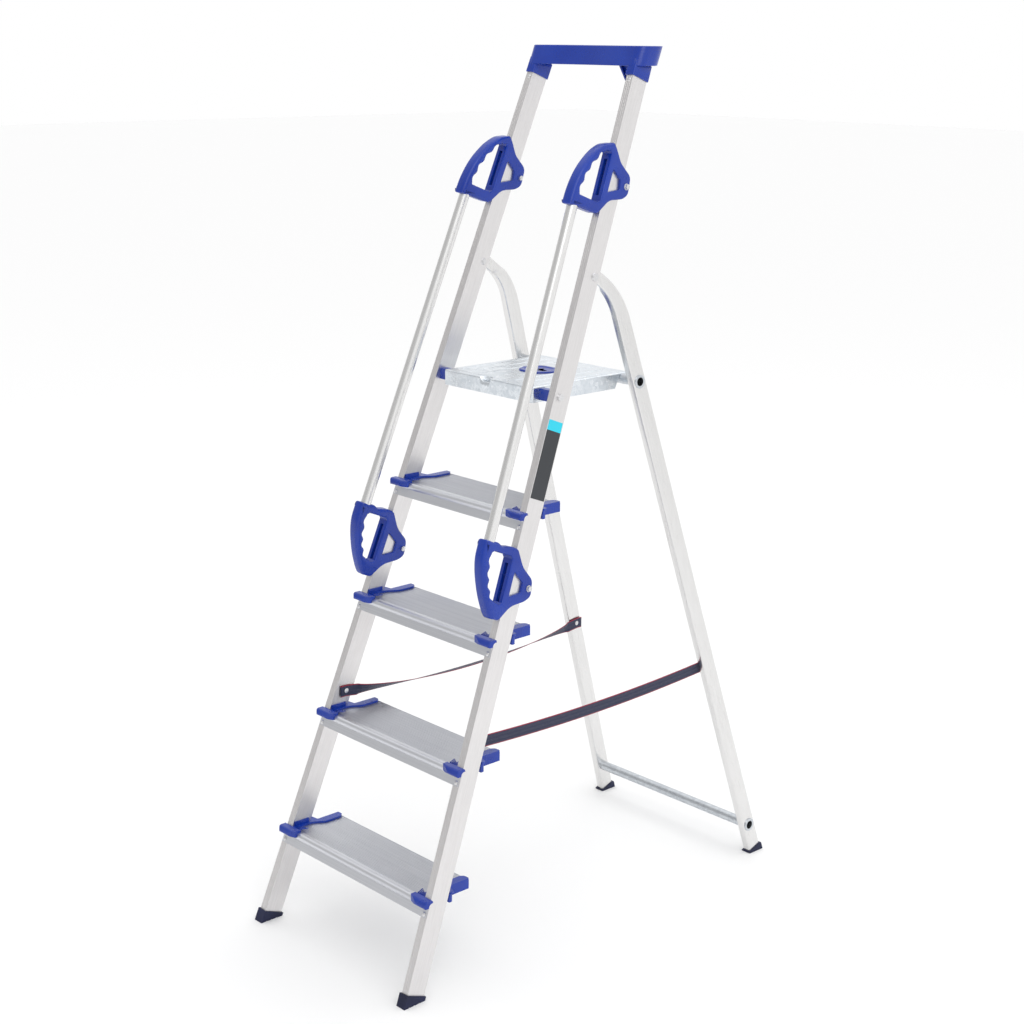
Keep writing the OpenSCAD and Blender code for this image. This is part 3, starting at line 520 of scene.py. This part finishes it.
# A white room, darker one way so that metal has something to reflect, and brighter overhead.
def makeRoom(settings):
    bpy.context.scene.view_settings.view_transform = settings["view"]
    world = bpy.data.worlds.new("studio")
    bpy.context.scene.world = world
    world.use_nodes = True
    sky = world.node_tree
    background = sky.nodes["Background"]
    background.inputs["Color"].default_value = (1, 1, 1, 1)
    way = node(sky, "ShaderNodeTexCoord").outputs["Generated"]
    facing = node(sky, "ShaderNodeVectorMath", {"operation": "DOT_PRODUCT"}, i0=way, i1=settings["darkWay"])
    shade = node(sky, "ShaderNodeMapRange", {"interpolation_type": "SMOOTHSTEP"},
                 Value=facing.outputs["Value"], From_Min=0.1, From_Max=0.85, To_Min=settings["level"],
                 To_Max=settings["dark"])
    height = node(sky, "ShaderNodeSeparateXYZ", None, Vector=way)
    above = node(sky, "ShaderNodeMapRange", {"interpolation_type": "SMOOTHSTEP"},
                 Value=height.outputs["Z"], From_Min=0.45, From_Max=1.0, To_Min=0.0,
                 To_Max=settings["overhead"])
    level = maths(sky, "ADD", shade.outputs["Result"], above.outputs["Result"])
    sky.links.new(level, background.inputs["Strength"])


makeCamera(shot)
makeFloor(studio)
makeRoom(studio)
makeLight("keySoft", (3.0, -1.8, 4.2), (0, 0, 0.9), (2.4, 2.4), 26)
makeLight("topSoft", (-0.4, 1.8, 4.6), (0, 0, 0.6), (3.4, 3.4), 22)
print("camera, light and floor placed")


# Applies modifiers and cuts the piece with closed cutters, then keeps the result as its own mesh.
def finishMesh(piece, cutters=()):
    for c in cutters:
        cut = piece.modifiers.new("cut", "BOOLEAN")
        cut.operation = "DIFFERENCE"
        cut.solver = "MANIFOLD"
        cut.object = c
    graph = bpy.context.evaluated_depsgraph_get()
    done = bpy.data.meshes.new_from_object(piece.evaluated_get(graph))
    old = piece.data
    piece.modifiers.clear()
    piece.data = done
    bpy.data.meshes.remove(old)
    for c in cutters:
        bpy.data.objects.remove(c)


# A closed shape that is only used to cut another.
def addCutter(verts, faces):
    mesh = bpy.data.meshes.new("cutter")
    mesh.from_pydata(verts.tolist(), [], faces)
    piece = bpy.data.objects.new("cutter", mesh)
    bpy.context.scene.collection.objects.link(piece)
    return outwards(piece)


# A closed box between two corners, put in place by carry.
def boxCutter(carry, low, high):
    corners = np.array([[x, y, z] for x in (low[0], high[0]) for y in (low[1], high[1])
                        for z in (low[2], high[2])])
    faces = [(0, 1, 3, 2), (4, 6, 7, 5), (0, 4, 5, 1), (2, 3, 7, 6), (0, 2, 6, 4), (1, 5, 7, 3)]
    return addCutter(carry(corners), faces)


# A closed cylinder along X through (y, z).
def barCutter(y, z, radius, half, steps=48):
    a = np.linspace(0, 2 * math.pi, steps, endpoint=False)
    ring = np.stack([np.zeros(steps), y + radius * np.cos(a), z + radius * np.sin(a)], -1)
    return addCutter(np.concatenate([ring + [-half, 0, 0], ring + [half, 0, 0]]), tubeFaces(2, steps))


# Smooth shading that breaks at edges steeper than angle.
def sharpen(piece, angle):
    mesh = piece.data
    mesh.polygons.foreach_set("use_smooth", [True] * len(mesh.polygons))
    mesh.set_sharp_from_angle(angle=math.radians(angle))


# the outlines are (deep, along, ease) in millimetres; the rest is in metres
bracket = {
    "thick": 0.028, "webDepth": 0.010, "slotWidth": 0.0088, "slotFrom": -0.037, "slotTo": 0.038,
    "overlap": 0.004, "loose": 0.00025, "channelHalf": 0.15, "channelDeep": 0.1, "scoop": 4.5,
    "boreRadius": 0.0108, "boreDeep": -0.069, "boreSteps": 40, "easeRun": 0.03,
    "outerEase": (0.0085, 0.003), "gripEase": (0.005, 0.002), "eyeEase": (0.0016, 0.0016),
    "upper": {
        "mid": 1505.0, "bore": (-0.14, -0.064),
        "outline": [(-89, -79, 3), (-88, -45, 20), (-78, -2, 22), (-55, 40, 18), (-34, 61, 8), (-8, 72, 4),
                    (4, 60, 6), (22, 40, 8), (58, 23, 10), (62, -14, 8), (50, -26, 7), (14, -40, 12),
                    (-8, -74, 6), (-30, -76, 6), (-50, -77, 4)],
        "grip": ((-68, -53), (-66, 2), (-24, 50)), "gripRest": [(-14, 53), (-10, 49), (-10, -48), (-15, -53)],
        "eye": [(5, 22, 2), (31, 8, 3), (35, -11, 3), (4, -26, 2)]},
    "lower": {
        "mid": 750.0, "bore": (0.057, 0.14),
        "outline": [(-88, 70, 3), (-88, 32, 15), (-78, 2, 15), (-58, -36, 18), (-38, -62, 8), (-28, -72, 5),
                    (-7, -72, 5), (14, -42, 14), (50, -26, 7), (63, -14, 8), (57, 18, 9), (24, 37, 10),
                    (0, 68, 6), (-14, 70, 6), (-40, 66, 6), (-52, 71, 4)],
        "grip": ((-33, -38), (-62, -8), (-65, 49)),
        "gripRest": [(-60, 53), (-15, 52), (-10, 47), (-10, -38), (-15, -43)],
        "eye": [(4, 24, 2), (32, 8, 3), (33, -12, 3), (4, -24, 2)]},
}


# A finger grip: an outline with a scooped window and an eye, then cut for the stile, its web and the rail.
def makeBracket(side, key):
    s = bracket[key]
    mid = s["mid"] / 1000 / math.cos(lean)
    outer = easedOutline(s["outline"]) / 1000
    window = fingerEdge(*s["grip"], scoop=bracket["scoop"])
    grip = np.concatenate([window, np.array(s["gripRest"], float)]) / 1000
    eye = easedOutline(s["eye"]) / 1000
    rings, radii = [], []
    for ring, ease in ((outer, "outerEase"), (grip, "gripEase"), (eye, "eyeEase")):
        near, far = bracket[ease]
        x, y = ring[:, 0], ring[:, 1]
        area = np.sum(x * np.roll(y, -1) - np.roll(x, -1) * y)
        if (area < 0) == (ring is outer):
            ring = ring[::-1]
        rings.append(ring)
        share = np.clip((ring[:, 0] + bracket["easeRun"]) / bracket["easeRun"], 0, 1)
        radii.append(near + (far - near) * share)
    verts, faces = roundedPlate(rings, radii, bracket["thick"] / 2)

    def carry(p):
        points = stilePoint(p[:, 0] - ladder["stileWide"] / 2, p[:, 1], p[:, 2] + mid)
        return mirrored(points, side)

    name = sideName(side) + key.capitalize() + "Grip"
    piece = outwards(addPiece(name, carry(verts), faces, materials["blue"]))
    wide = ladder["stileWide"] / 2 + bracket["loose"]
    slotHalf, over = bracket["slotWidth"] / 2, bracket["overlap"]
    reach = bracket["channelHalf"]
    channel = boxCutter(carry, (-wide, 0.0, -reach), (wide, bracket["channelDeep"], reach))
    slot = boxCutter(carry, (-slotHalf, -bracket["webDepth"] - over, bracket["slotFrom"]),
                     (slotHalf, over, bracket["slotTo"]))
    steps, radius = bracket["boreSteps"], bracket["boreRadius"]
    a = np.linspace(0, 2 * math.pi, steps, endpoint=False)
    ring = np.stack([radius * np.cos(a), bracket["boreDeep"] + radius * np.sin(a)], -1)
    tube = np.concatenate([np.column_stack([ring, np.full(steps, z)]) for z in s["bore"]])
    bore = addCutter(carry(tube), tubeFaces(2, steps))
    finishMesh(piece, [channel, slot, bore])
    sharpen(piece, 40)
    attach(piece, "front_frame")
    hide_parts(sideName(side) + "_" + key + "_bracket")


for side in (-1, 1):
    for key in ("upper", "lower"):
        makeBracket(side, key)
print("grips made")


leg = {"wide": 0.017, "deep": 0.035, "offset": 0.053, "turn": 37.7, "outN": 0.0193, "inN": -0.0058,
       "outCut": 0.062, "inCut": 0.044, "flat": 0.0081, "flatFrom": 0.058, "flatRun": 0.026, "corner": 0.003,
       "level": 0.525, "floorGap": 0.002, "end": -0.013, "braceZ": 0.066, "hole": 0.01055, "holeHalf": 0.4}


# The legs lean so that they run from their offset at the pivot to the back feet.
def rearFrameAngles():
    pivotY, pivotZ = ladder["pivot"]
    run = ladder["frontY"] + ladder["baseDepth"] - leg["deep"] * leg["level"] - pivotY
    rearLean = math.atan(run / pivotZ) - math.asin(leg["offset"] / math.hypot(run, pivotZ))
    return rearLean, math.atan(ladder["rearTaper"] * math.cos(rearLean))


rearLean, rearTilt = rearFrameAngles()
legDrop = (leg["offset"] - leg["deep"] / 2) * math.sin(rearLean)
legStart = (leg["floorGap"] - ladder["pivot"][1] - legDrop) / math.cos(rearLean)
tubeZ = ladder["platformZ"] - ladder["sheet"] - ladder["air"] - ladder["tubeRadius"]


# A point on the right rear leg: x outwards from its outer face, v square to it towards the back, w along it.
def legPoint(x, v, w):
    x, v, w = together(x, v, w)
    half = ladder["frontHalf"] - ladder["rearTaper"] * ladder["pivot"][1]
    wide = half + x * math.cos(rearTilt) - w * math.sin(rearTilt)
    up = x * math.sin(rearTilt) + w * math.cos(rearTilt)
    return np.stack([wide, ladder["pivot"][0] + v * math.cos(rearLean) - up * math.sin(rearLean),
                     ladder["pivot"][1] + v * math.sin(rearLean) + up * math.cos(rearLean)], -1)


# Where the leg's middle line is at a height z.
def legMidY(z):
    pivotY, pivotZ = ladder["pivot"]
    fall = z - pivotZ - leg["offset"] * math.sin(rearLean)
    return pivotY + leg["offset"] * math.cos(rearLean) - fall * math.tan(rearLean)


# One edge of the leg seen from the side: straight at v = edgeV, then a quadratic curve that starts
# cut before the corner, then straight at edgeN beside the pivot. along is (share of straight, curve, end).
def bendEdge(edgeV, edgeN, cut, along):
    turn = math.radians(leg["turn"])
    d = np.array([math.sin(turn), -math.cos(turn)])
    n = np.array([math.cos(turn), math.sin(turn)])
    corner = d * ((edgeV - n[0] * edgeN) / d[0]) + n * edgeN
    top = d * leg["end"] + n * edgeN
    first = corner + np.array([0, -1.0]) * cut
    last = corner - d * cut
    straight = np.linspace([edgeV, legStart], first, along[0], endpoint=False)
    t = np.linspace(0, 1, along[1])[:, None]
    curve = (1 - t) ** 2 * first + 2 * t * (1 - t) * corner + t ** 2 * last
    end = np.linspace(last, top, along[2] + 1)[1:]
    return np.concatenate([straight, curve, end])


# Corner angles and their centres' signs for a rounded rectangle, anticlockwise.
def roundedSection(steps=5):
    a = np.concatenate([np.linspace(k * math.pi / 2, (k + 1) * math.pi / 2, steps) for k in range(4)])
    sx = np.repeat([1, -1, -1, 1], steps)
    sy = np.repeat([1, 1, -1, -1], steps)
    return a, sx, sy


# A rounded rectangle between the leg's two edges; it narrows to a strip beside the pivot.
def makeLeg(side):
    counts = (40, 36, 16)
    far = bendEdge(leg["offset"] + leg["deep"] / 2, leg["outN"], leg["outCut"], counts)
    near = bendEdge(leg["offset"] - leg["deep"] / 2, leg["inN"], leg["inCut"], counts)
    centre = (far + near) / 2
    halfDeep = np.linalg.norm(far - near, axis=1) / 2
    axis = unit(far - near)
    turn = math.radians(leg["turn"])
    s = centre @ np.array([math.sin(turn), -math.cos(turn)])
    onStrip = np.arange(len(centre)) > counts[0]
    flatShare = np.where(onStrip, np.clip((leg["flatFrom"] - s) / leg["flatRun"], 0, 1), 0)
    flatShare = flatShare ** 2 * (3 - 2 * flatShare)
    wide = leg["wide"] + (leg["flat"] - leg["wide"]) * flatShare
    a, sx, sy = roundedSection()
    r = np.minimum(leg["corner"], wide / 2 - 0.0003)[:, None]
    x = sx * (wide[:, None] / 2 - r) + r * np.cos(a) - wide[:, None] / 2
    d = sy * (halfDeep[:, None] - r) + r * np.sin(a)
    v = centre[:, :1] + axis[:, :1] * d
    w = centre[:, 1:] + axis[:, 1:] * d
    points = mirrored(legPoint(x, v, w), side)
    name = sideName(side) + "Leg"
    piece = outwards(addPiece(name, points, tubeFaces(*points.shape[:2]), materials["leg"]))
    cutters = [barCutter(legMidY(z), z, leg["hole"], leg["holeHalf"]) for z in (tubeZ, leg["braceZ"])]
    finishMesh(piece, cutters)
    sharpen(piece, 40)
    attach(piece, "rear_frame")
    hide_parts(sideName(side) + "_rear_leg")


for side in (-1, 1):
    makeLeg(side)
print("rear legs made")


# the hook's outlines are (across, up) from its root at the tray's floor
tray = {"height": 0.039, "wall": 0.0025, "front": -0.004, "back": 0.071, "overhang": 0.0137,
        "frontRadius": 0.022, "backRadius": 0.040, "bow": 0.007, "foot": 0.0016, "heel": 0.003,
        "socketDrop": 0.015, "socketTop": 0.025, "socketGap": 0.0003, "socketWall": 0.003,
        "socketLead": 0.0012, "hookIn": 0.054, "hookBack": 0.032, "hookHalf": 0.007, "hookWeb": 0.0013,
        "hookEase": 0.0006,
        "hook": [(-0.034, 0.001), (-0.015, -0.031), (0.003, -0.031), (0.007, -0.015), (0.0, -0.015),
                 (0.0, 0.001)],
        "hookHollow": [(-0.0275, -0.0005), (-0.0125, -0.0275), (-0.002, -0.0275), (-0.002, -0.0005)]}
tray["half"] = ladder["frontHalf"] - ladder["frontTaper"] * ladder["height"] + tray["overhang"]


# The tray from above in the leaning plane: two round lobes, a straight back and a front that bows inwards.
def trayOutline(inset):
    fr, br = tray["frontRadius"] - inset, tray["backRadius"] - inset
    xf, xb = tray["half"] - tray["frontRadius"], tray["half"] - tray["backRadius"]
    yf, yb = tray["front"] + tray["frontRadius"], tray["back"] - tray["backRadius"]

    def arc(cx, cy, r, a0, a1, n):
        a = np.radians(np.linspace(a0, a1, n))
        return np.stack([cx + r * np.cos(a), cy + r * np.sin(a)], -1)

    k = np.linspace(0, 1, 42)[1:-1]
    bow = tray["bow"] * (1 - np.cos(2 * math.pi * k)) / 2
    bowed = np.stack([-xf + 2 * xf * k, tray["front"] + inset + bow], -1)
    return np.concatenate([arc(xf, yf, fr, -90, 0, 16), arc(xb, yb, br, 0, 90, 22),
                           arc(-xb, yb, br, 90, 180, 22), arc(-xf, yf, fr, 180, 270, 16), bowed])


def trayRing(inset, z):
    o = trayOutline(inset)
    y = ladder["frontY"] + z * math.tan(lean) + o[:, 1] / math.cos(lean)
    return np.stack([o[:, 0], y, np.full(len(o), z)], -1)


# Rings joined one after another and closed at the last one, and at the first unless it is left open.
def loftPiece(rings, closeFirst=True):
    cols = len(rings[0])
    faces = tubeFaces(len(rings), cols)
    body, first, last = faces[:-2], faces[-2][::-1], faces[-1]
    return np.concatenate(rings), body + ([first] if closeFirst else []) + [last]


# A ring round the stile, grow outside it, at a place along it.
def socketRing(side, grow, along, radius=0.003):
    a, sx, sy = roundedSection()
    halfWide, halfDeep = ladder["stileWide"] / 2 + grow, ladder["stileDeep"] / 2 + grow
    x = sx * (halfWide - radius) + radius * np.cos(a) - ladder["stileWide"] / 2
    d = sy * (halfDeep - radius) + radius * np.sin(a) + ladder["stileDeep"] / 2
    return mirrored(stilePoint(x, d, along), side)


# A sleeve from below the tray's floor to a closed top just over the stile's end.
def traySocket(side, base, top):
    start = (base - tray["socketDrop"]) / math.cos(lean)
    end = (top - tray["socketTop"]) / math.cos(lean) + 0.0025
    gap, wall, lead = tray["socketGap"], tray["socketWall"], tray["socketLead"]
    return loftPiece([socketRing(side, gap, start + 0.006, lead), socketRing(side, gap, start, lead),
                      socketRing(side, wall - 0.0005, start), socketRing(side, wall, start + 0.0006),
                      socketRing(side, wall, (start + end) / 2), socketRing(side, wall, end - 0.0012),
                      socketRing(side, wall - 0.001, end)], closeFirst=False)


# The hook under the tray: a thin plate with a thicker rim round its hollow.
def trayHook(base):
    hookX = tray["half"] - tray["hookIn"]
    hookY = ladder["frontY"] + base * math.tan(lean) + tray["hookBack"]
    outline = np.array(tray["hook"]) + [hookX, base]
    hollow = np.array(tray["hookHollow"]) + [hookX, base]
    plates = []
    for rings, half in (([outline, hollow[::-1]], tray["hookHalf"]), ([outline], tray["hookWeb"])):
        v, f = roundedPlate(rings, [np.full(len(r), tray["hookEase"]) for r in rings], half)
        plates.append((np.stack([v[:, 1], hookY + tray["hookHalf"] + v[:, 0], v[:, 2]], -1), f))
    return plates


# One wall walked round in section: up the outside, over the lip, down the inside and across the floor.
def makeTray():
    top, base = ladder["height"], ladder["height"] - tray["height"]
    w, foot, heel = tray["wall"], tray["foot"], tray["heel"]
    quarter = np.linspace(0, math.pi / 2, 6)
    rings = [trayRing(foot * (1 - math.sin(k)), base + foot * (1 - math.cos(k))) for k in quarter]
    rings += [trayRing(0, z) for z in np.linspace(base + 0.004, top - 0.003, 8)]
    rings += [trayRing(w / 2 - w / 2 * math.cos(k), top - w / 2 + w / 2 * math.sin(k))
              for k in np.linspace(0, math.pi, 11)]
    rings += [trayRing(w, z) for z in np.linspace(top - 0.004, base + w + 0.004, 6)]
    rings += [trayRing(w + heel * (1 - math.cos(k)), base + w + heel * (1 - math.sin(k))) for k in quarter]
    built = [loftPiece(rings)] + [traySocket(side, base, top) for side in (-1, 1)] + trayHook(base)
    verts, faces, start = [], [], 0
    for v, f in built:
        verts.append(np.asarray(v).reshape(-1, 3))
        faces += [tuple(int(i) + start for i in face) for face in f]
        start += len(verts[-1])
    piece = outwards(addPiece("toolTray", np.concatenate(verts), faces, materials["blue"]))
    sharpen(piece, 40)
    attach(piece, "front_frame")
    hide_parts("tool_tray")


makeTray()
print("tray made")


# beads lie lengthwise at shares of the half width, lines run across near the ends, ribs cross the middle
panLow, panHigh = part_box("platform")
pan = {"half": panHigh[0], "front": panLow[1], "back": panHigh[1], "skirt": 0.031, "backSkirt": 0.022,
       "bend": 0.003, "corner": 0.005, "around": 640, "across": 96, "fade": 0.006, "rimBand": 0.0025,
       "bead": 0.0011, "beadHalf": 0.005, "beads": (-0.86, -0.62, -0.38, 0.38, 0.62, 0.86),
       "beadFront": 0.026, "beadBack": 0.016, "line": 0.0009, "lineHalf": 0.003, "lineFront": 0.016,
       "lineBack": 0.008, "ribs": (0.062, 0.090, 0.180, 0.208), "ribShare": 0.28,
       "notchX": -0.007, "notchOut": 0.003, "notchRadius": 0.016, "notchDeep": 0.0065, "notchIn": 0.004,
       "slantFrom": 0.0215, "slantTo": 0.0085}


# A rounded rectangle walked at even steps, anticlockwise from the middle of the right side.
def panOutline(inset):
    r = max(pan["corner"] - inset, 0.0004)
    hx = pan["half"] - inset
    y0, y1 = pan["front"] + inset, pan["back"] - inset
    a = np.linspace(0, math.pi / 2, 9)

    def corner(cx, cy, start):
        return np.stack([cx + r * np.cos(a + start), cy + r * np.sin(a + start)], -1)

    loop = np.concatenate([corner(hx - r, y1 - r, 0), corner(-hx + r, y1 - r, math.pi / 2),
                           corner(-hx + r, y0 + r, math.pi), corner(hx - r, y0 + r, 1.5 * math.pi)])
    closed = np.concatenate([loop, loop[:1]])
    length = np.concatenate([[0], np.cumsum(np.linalg.norm(np.diff(closed, axis=0), axis=1))])
    at = np.linspace(0, length[-1], pan["around"], endpoint=False)
    return np.stack([np.interp(at, length, closed[:, 0]), np.interp(at, length, closed[:, 1])], -1)


# A raised cosine across the distance d, and a fade over a short run from 0 at d = 0 to 1.
def ridge(d, half):
    return (1 + np.cos(math.pi * np.clip(np.abs(d) / half, 0, 1))) / 2


def fade(d):
    return np.clip(d / pan["fade"], 0, 1)


# Height of the pressed top: raised beads and ribs, and two sunk lines, each a raised cosine across.
def panHeight(x, y):
    front, back = pan["front"], pan["back"]
    z = np.zeros_like(x)
    for share in pan["beads"]:
        run = fade(y - front - pan["beadFront"]) * fade(back - pan["beadBack"] - y)
        z += pan["bead"] * ridge(x - share * pan["half"], pan["beadHalf"]) * run
    for line in (front + pan["lineFront"], back - pan["lineBack"]):
        z -= pan["line"] * ridge(y - line, pan["lineHalf"]) * fade(pan["half"] - pan["fade"] - np.abs(x))
    for offset in pan["ribs"]:
        run = fade(pan["half"] * pan["ribShare"] - np.abs(x))
        z += pan["line"] * ridge(y - front - offset, pan["lineHalf"]) * run
    return z


# The lower edge of the skirt: it slants up over the cross tube on the sides and is shorter at the back.
def skirtEdge(edge, top):
    tubeY = legMidY(tubeZ)
    onSide = np.abs(edge[:, 0]) > pan["half"] - pan["rimBand"]
    onBack = edge[:, 1] > pan["back"] - pan["rimBand"]
    slant = np.interp(edge[:, 1], [tubeY - pan["slantFrom"], tubeY - pan["slantTo"]],
                      [top - pan["skirt"], top - pan["bend"] - 0.0005])
    low = np.where(onSide, slant, top - pan["skirt"])
    return np.where(onBack & ~onSide, top - pan["backSkirt"], low)


# Presses the finger notch into the front edge, with a low lip round it.
def pressNotch(points, top):
    x, y = points[..., 0] - pan["notchX"], points[..., 1] - (pan["front"] - pan["notchOut"])
    ring = np.hypot(x, y) / pan["notchRadius"]
    scoop = np.clip(1 - ring ** 4, 0, 1)
    depth = np.clip((points[..., 2] - (top - 0.014)) / 0.012, 0, 1)
    points[..., 2] -= pan["notchDeep"] * scoop * depth ** 2
    atFront = points[..., 1] < pan["front"] + 0.0035
    points[..., 1] += np.where(atFront, pan["notchIn"] * scoop * depth, 0)
    points[..., 2] += np.exp(-((ring - 1.06) / 0.09) ** 2) * 0.0012 * (points[..., 2] > top - 0.002)


# Rings from the skirt's lower edge up, round the bend and in over the top to its middle.
def makePlatform():
    top, bend = ladder["platformZ"], pan["bend"]
    edge = panOutline(0)
    low = skirtEdge(edge, top)
    rows = [np.column_stack([edge, low + (top - bend - low) * k]) for k in np.linspace(0, 1, 12)]
    for k in np.linspace(0, math.pi / 2, 7)[1:]:
        level = np.full(len(edge), top - bend * (1 - math.sin(k)))
        rows.append(np.column_stack([panOutline(bend * (1 - math.cos(k))), level]))
    inside = panOutline(bend)
    middle = np.array([0, (pan["front"] + pan["back"]) / 2])
    for k in np.linspace(0, 1, pan["across"])[1:-1]:
        flat = middle + (inside - middle) * (1 - k)
        rows.append(np.column_stack([flat, top + panHeight(flat[:, 0], flat[:, 1])]))
    points = np.stack(rows)
    pressNotch(points, top)
    count, cols = points.shape[:2]
    verts = np.concatenate([points.reshape(-1, 3), [[middle[0], middle[1], top]]])
    last = (count - 1) * cols
    faces = gridFaces(count, cols)
    faces += [(last + i, last + (i + 1) % cols, len(verts) - 1) for i in range(cols)]
    piece = addPiece("platformPan", verts, faces, materials["zinc"])
    solid = piece.modifiers.new("sheet", "SOLIDIFY")
    solid.thickness = ladder["sheet"]
    solid.offset = -1
    finishMesh(piece)
    sharpen(piece, 50)
    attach(piece, "platform_pan")
    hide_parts("platform")


makePlatform()


# the profile is (outwards from the outline, up from the sheet), from under the sheet to the middle on top
insert = {"half": (0.040, 0.032), "share": 0.62, "endEase": 0.008, "sideEase": 0.016, "steps": 9,
          "profile": [(-0.022, -0.0155), (-0.008, -0.0155), (-0.003, -0.012), (-0.0004, -0.002),
                      (-0.0004, 0.0), (0.004, 0.0), (0.004, 0.0012), (0.0034, 0.0021), (0.0024, 0.0026),
                      (-0.0032, 0.0026), (-0.0042, 0.0023), (-0.005, 0.0016), (-0.0064, 0.0011),
                      (-0.010, 0.0008), (-0.018, 0.0007), (-0.026, 0.0007)]}


# The grip in the platform: an eased six-sided rim round a face that dips almost to the sheet.
def makeInsert():
    low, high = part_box("platform_grip_insert")
    middle = [(low[0] + high[0]) / 2, (low[1] + high[1]) / 2]
    share, endEase, sideEase = insert["share"], insert["endEase"], insert["sideEase"]

    def ring(grow, z):
        a, b = insert["half"][0] + grow, insert["half"][1] + grow
        line = easedOutline([(-a, 0, endEase), (-a * share, -b, sideEase), (a * share, -b, sideEase),
                             (a, 0, endEase), (a * share, b, sideEase), (-a * share, b, sideEase)],
                            insert["steps"])
        return np.column_stack([line + middle, np.full(len(line), ladder["platformZ"] + z)])

    verts, faces = loftPiece([ring(grow, z) for grow, z in insert["profile"]])
    piece = outwards(addPiece("platformGrip", verts, faces, materials["blue"]))
    sharpen(piece, 45)
    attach(piece, "platform_pan")
    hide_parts("platform_grip_insert")


makeInsert()
print("platform made")


strap = {"wide": 0.024, "thick": 0.0014, "height": 0.450, "tail": 0.015, "rows": 200, "sides": 28,
         "rivetDeep": 0.026, "clear": 0.0019, "flatFrom": 0.045, "flatShare": 0.91, "turnPower": 0.4,
         "edgePower": 0.55, "facePower": 0.45, "blendFrom": 0.03,
         "left": {"sag": 0.024, "turn": -77.0}, "right": {"sag": 0.011, "turn": 0.0}}


# A flat oval section carried along a sagging line; the section turns on edge as the sine of the run.
def makeStrap(side, key):
    s = strap[key]
    z = strap["height"]
    frontY = ladder["frontY"] + z * math.tan(lean) + strap["rivetDeep"] / math.cos(lean)
    backY = legMidY(z)
    clear, half = strap["clear"], strap["thick"] / 2
    frontX = ladder["frontHalf"] - ladder["frontTaper"] * z - ladder["stileWide"] - clear - half
    backX = ladder["frontHalf"] - ladder["rearTaper"] * z - leg["wide"] - clear - half
    run = backY - frontY
    u = np.linspace(-strap["tail"] / run, 1 + strap["tail"] / run, strap["rows"])
    inside = np.clip(u, 0, 1)
    drop = 4 * s["sag"] * inside * (1 - inside)
    line = np.stack([frontX + (backX - frontX) * u, frontY + run * u, z - drop], -1)
    free = np.clip((inside - strap["flatFrom"]) / strap["flatShare"], 0, 1)
    turn = np.radians(s["turn"]) * np.sin(math.pi * free) ** strap["turnPower"]
    ahead = unit(np.gradient(line, axis=0))
    flat = np.array([1.0, 0, 0])
    up = unit(np.cross(flat, ahead))
    out = np.cross(ahead, up)
    wide = up * np.cos(turn)[:, None] + out * np.sin(turn)[:, None]
    thick = out * np.cos(turn)[:, None] - up * np.sin(turn)[:, None]
    a = np.linspace(0, 2 * math.pi, strap["sides"], endpoint=False)
    across = np.sign(np.cos(a)) * np.abs(np.cos(a)) ** strap["edgePower"] * strap["wide"] / 2
    through = np.sign(np.sin(a)) * np.abs(np.sin(a)) ** strap["facePower"] * strap["thick"] / 2
    points = line[:, None] + wide[:, None] * across[None, :, None] + thick[:, None] * through[None, :, None]
    length = np.concatenate([[0], np.cumsum(np.linalg.norm(np.diff(line, axis=0), axis=1))])
    uv = np.stack(together(across[None], length[:, None]), -1)
    faces = tubeFaces(*points.shape[:2])
    piece = outwards(addPiece(key + "Webbing", mirrored(points, side), faces, materials["webbing"], uv=uv))
    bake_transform(piece)
    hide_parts(key + "_strap")


for side in (-1, 1):
    makeStrap(side, sideName(side))
print("straps made")
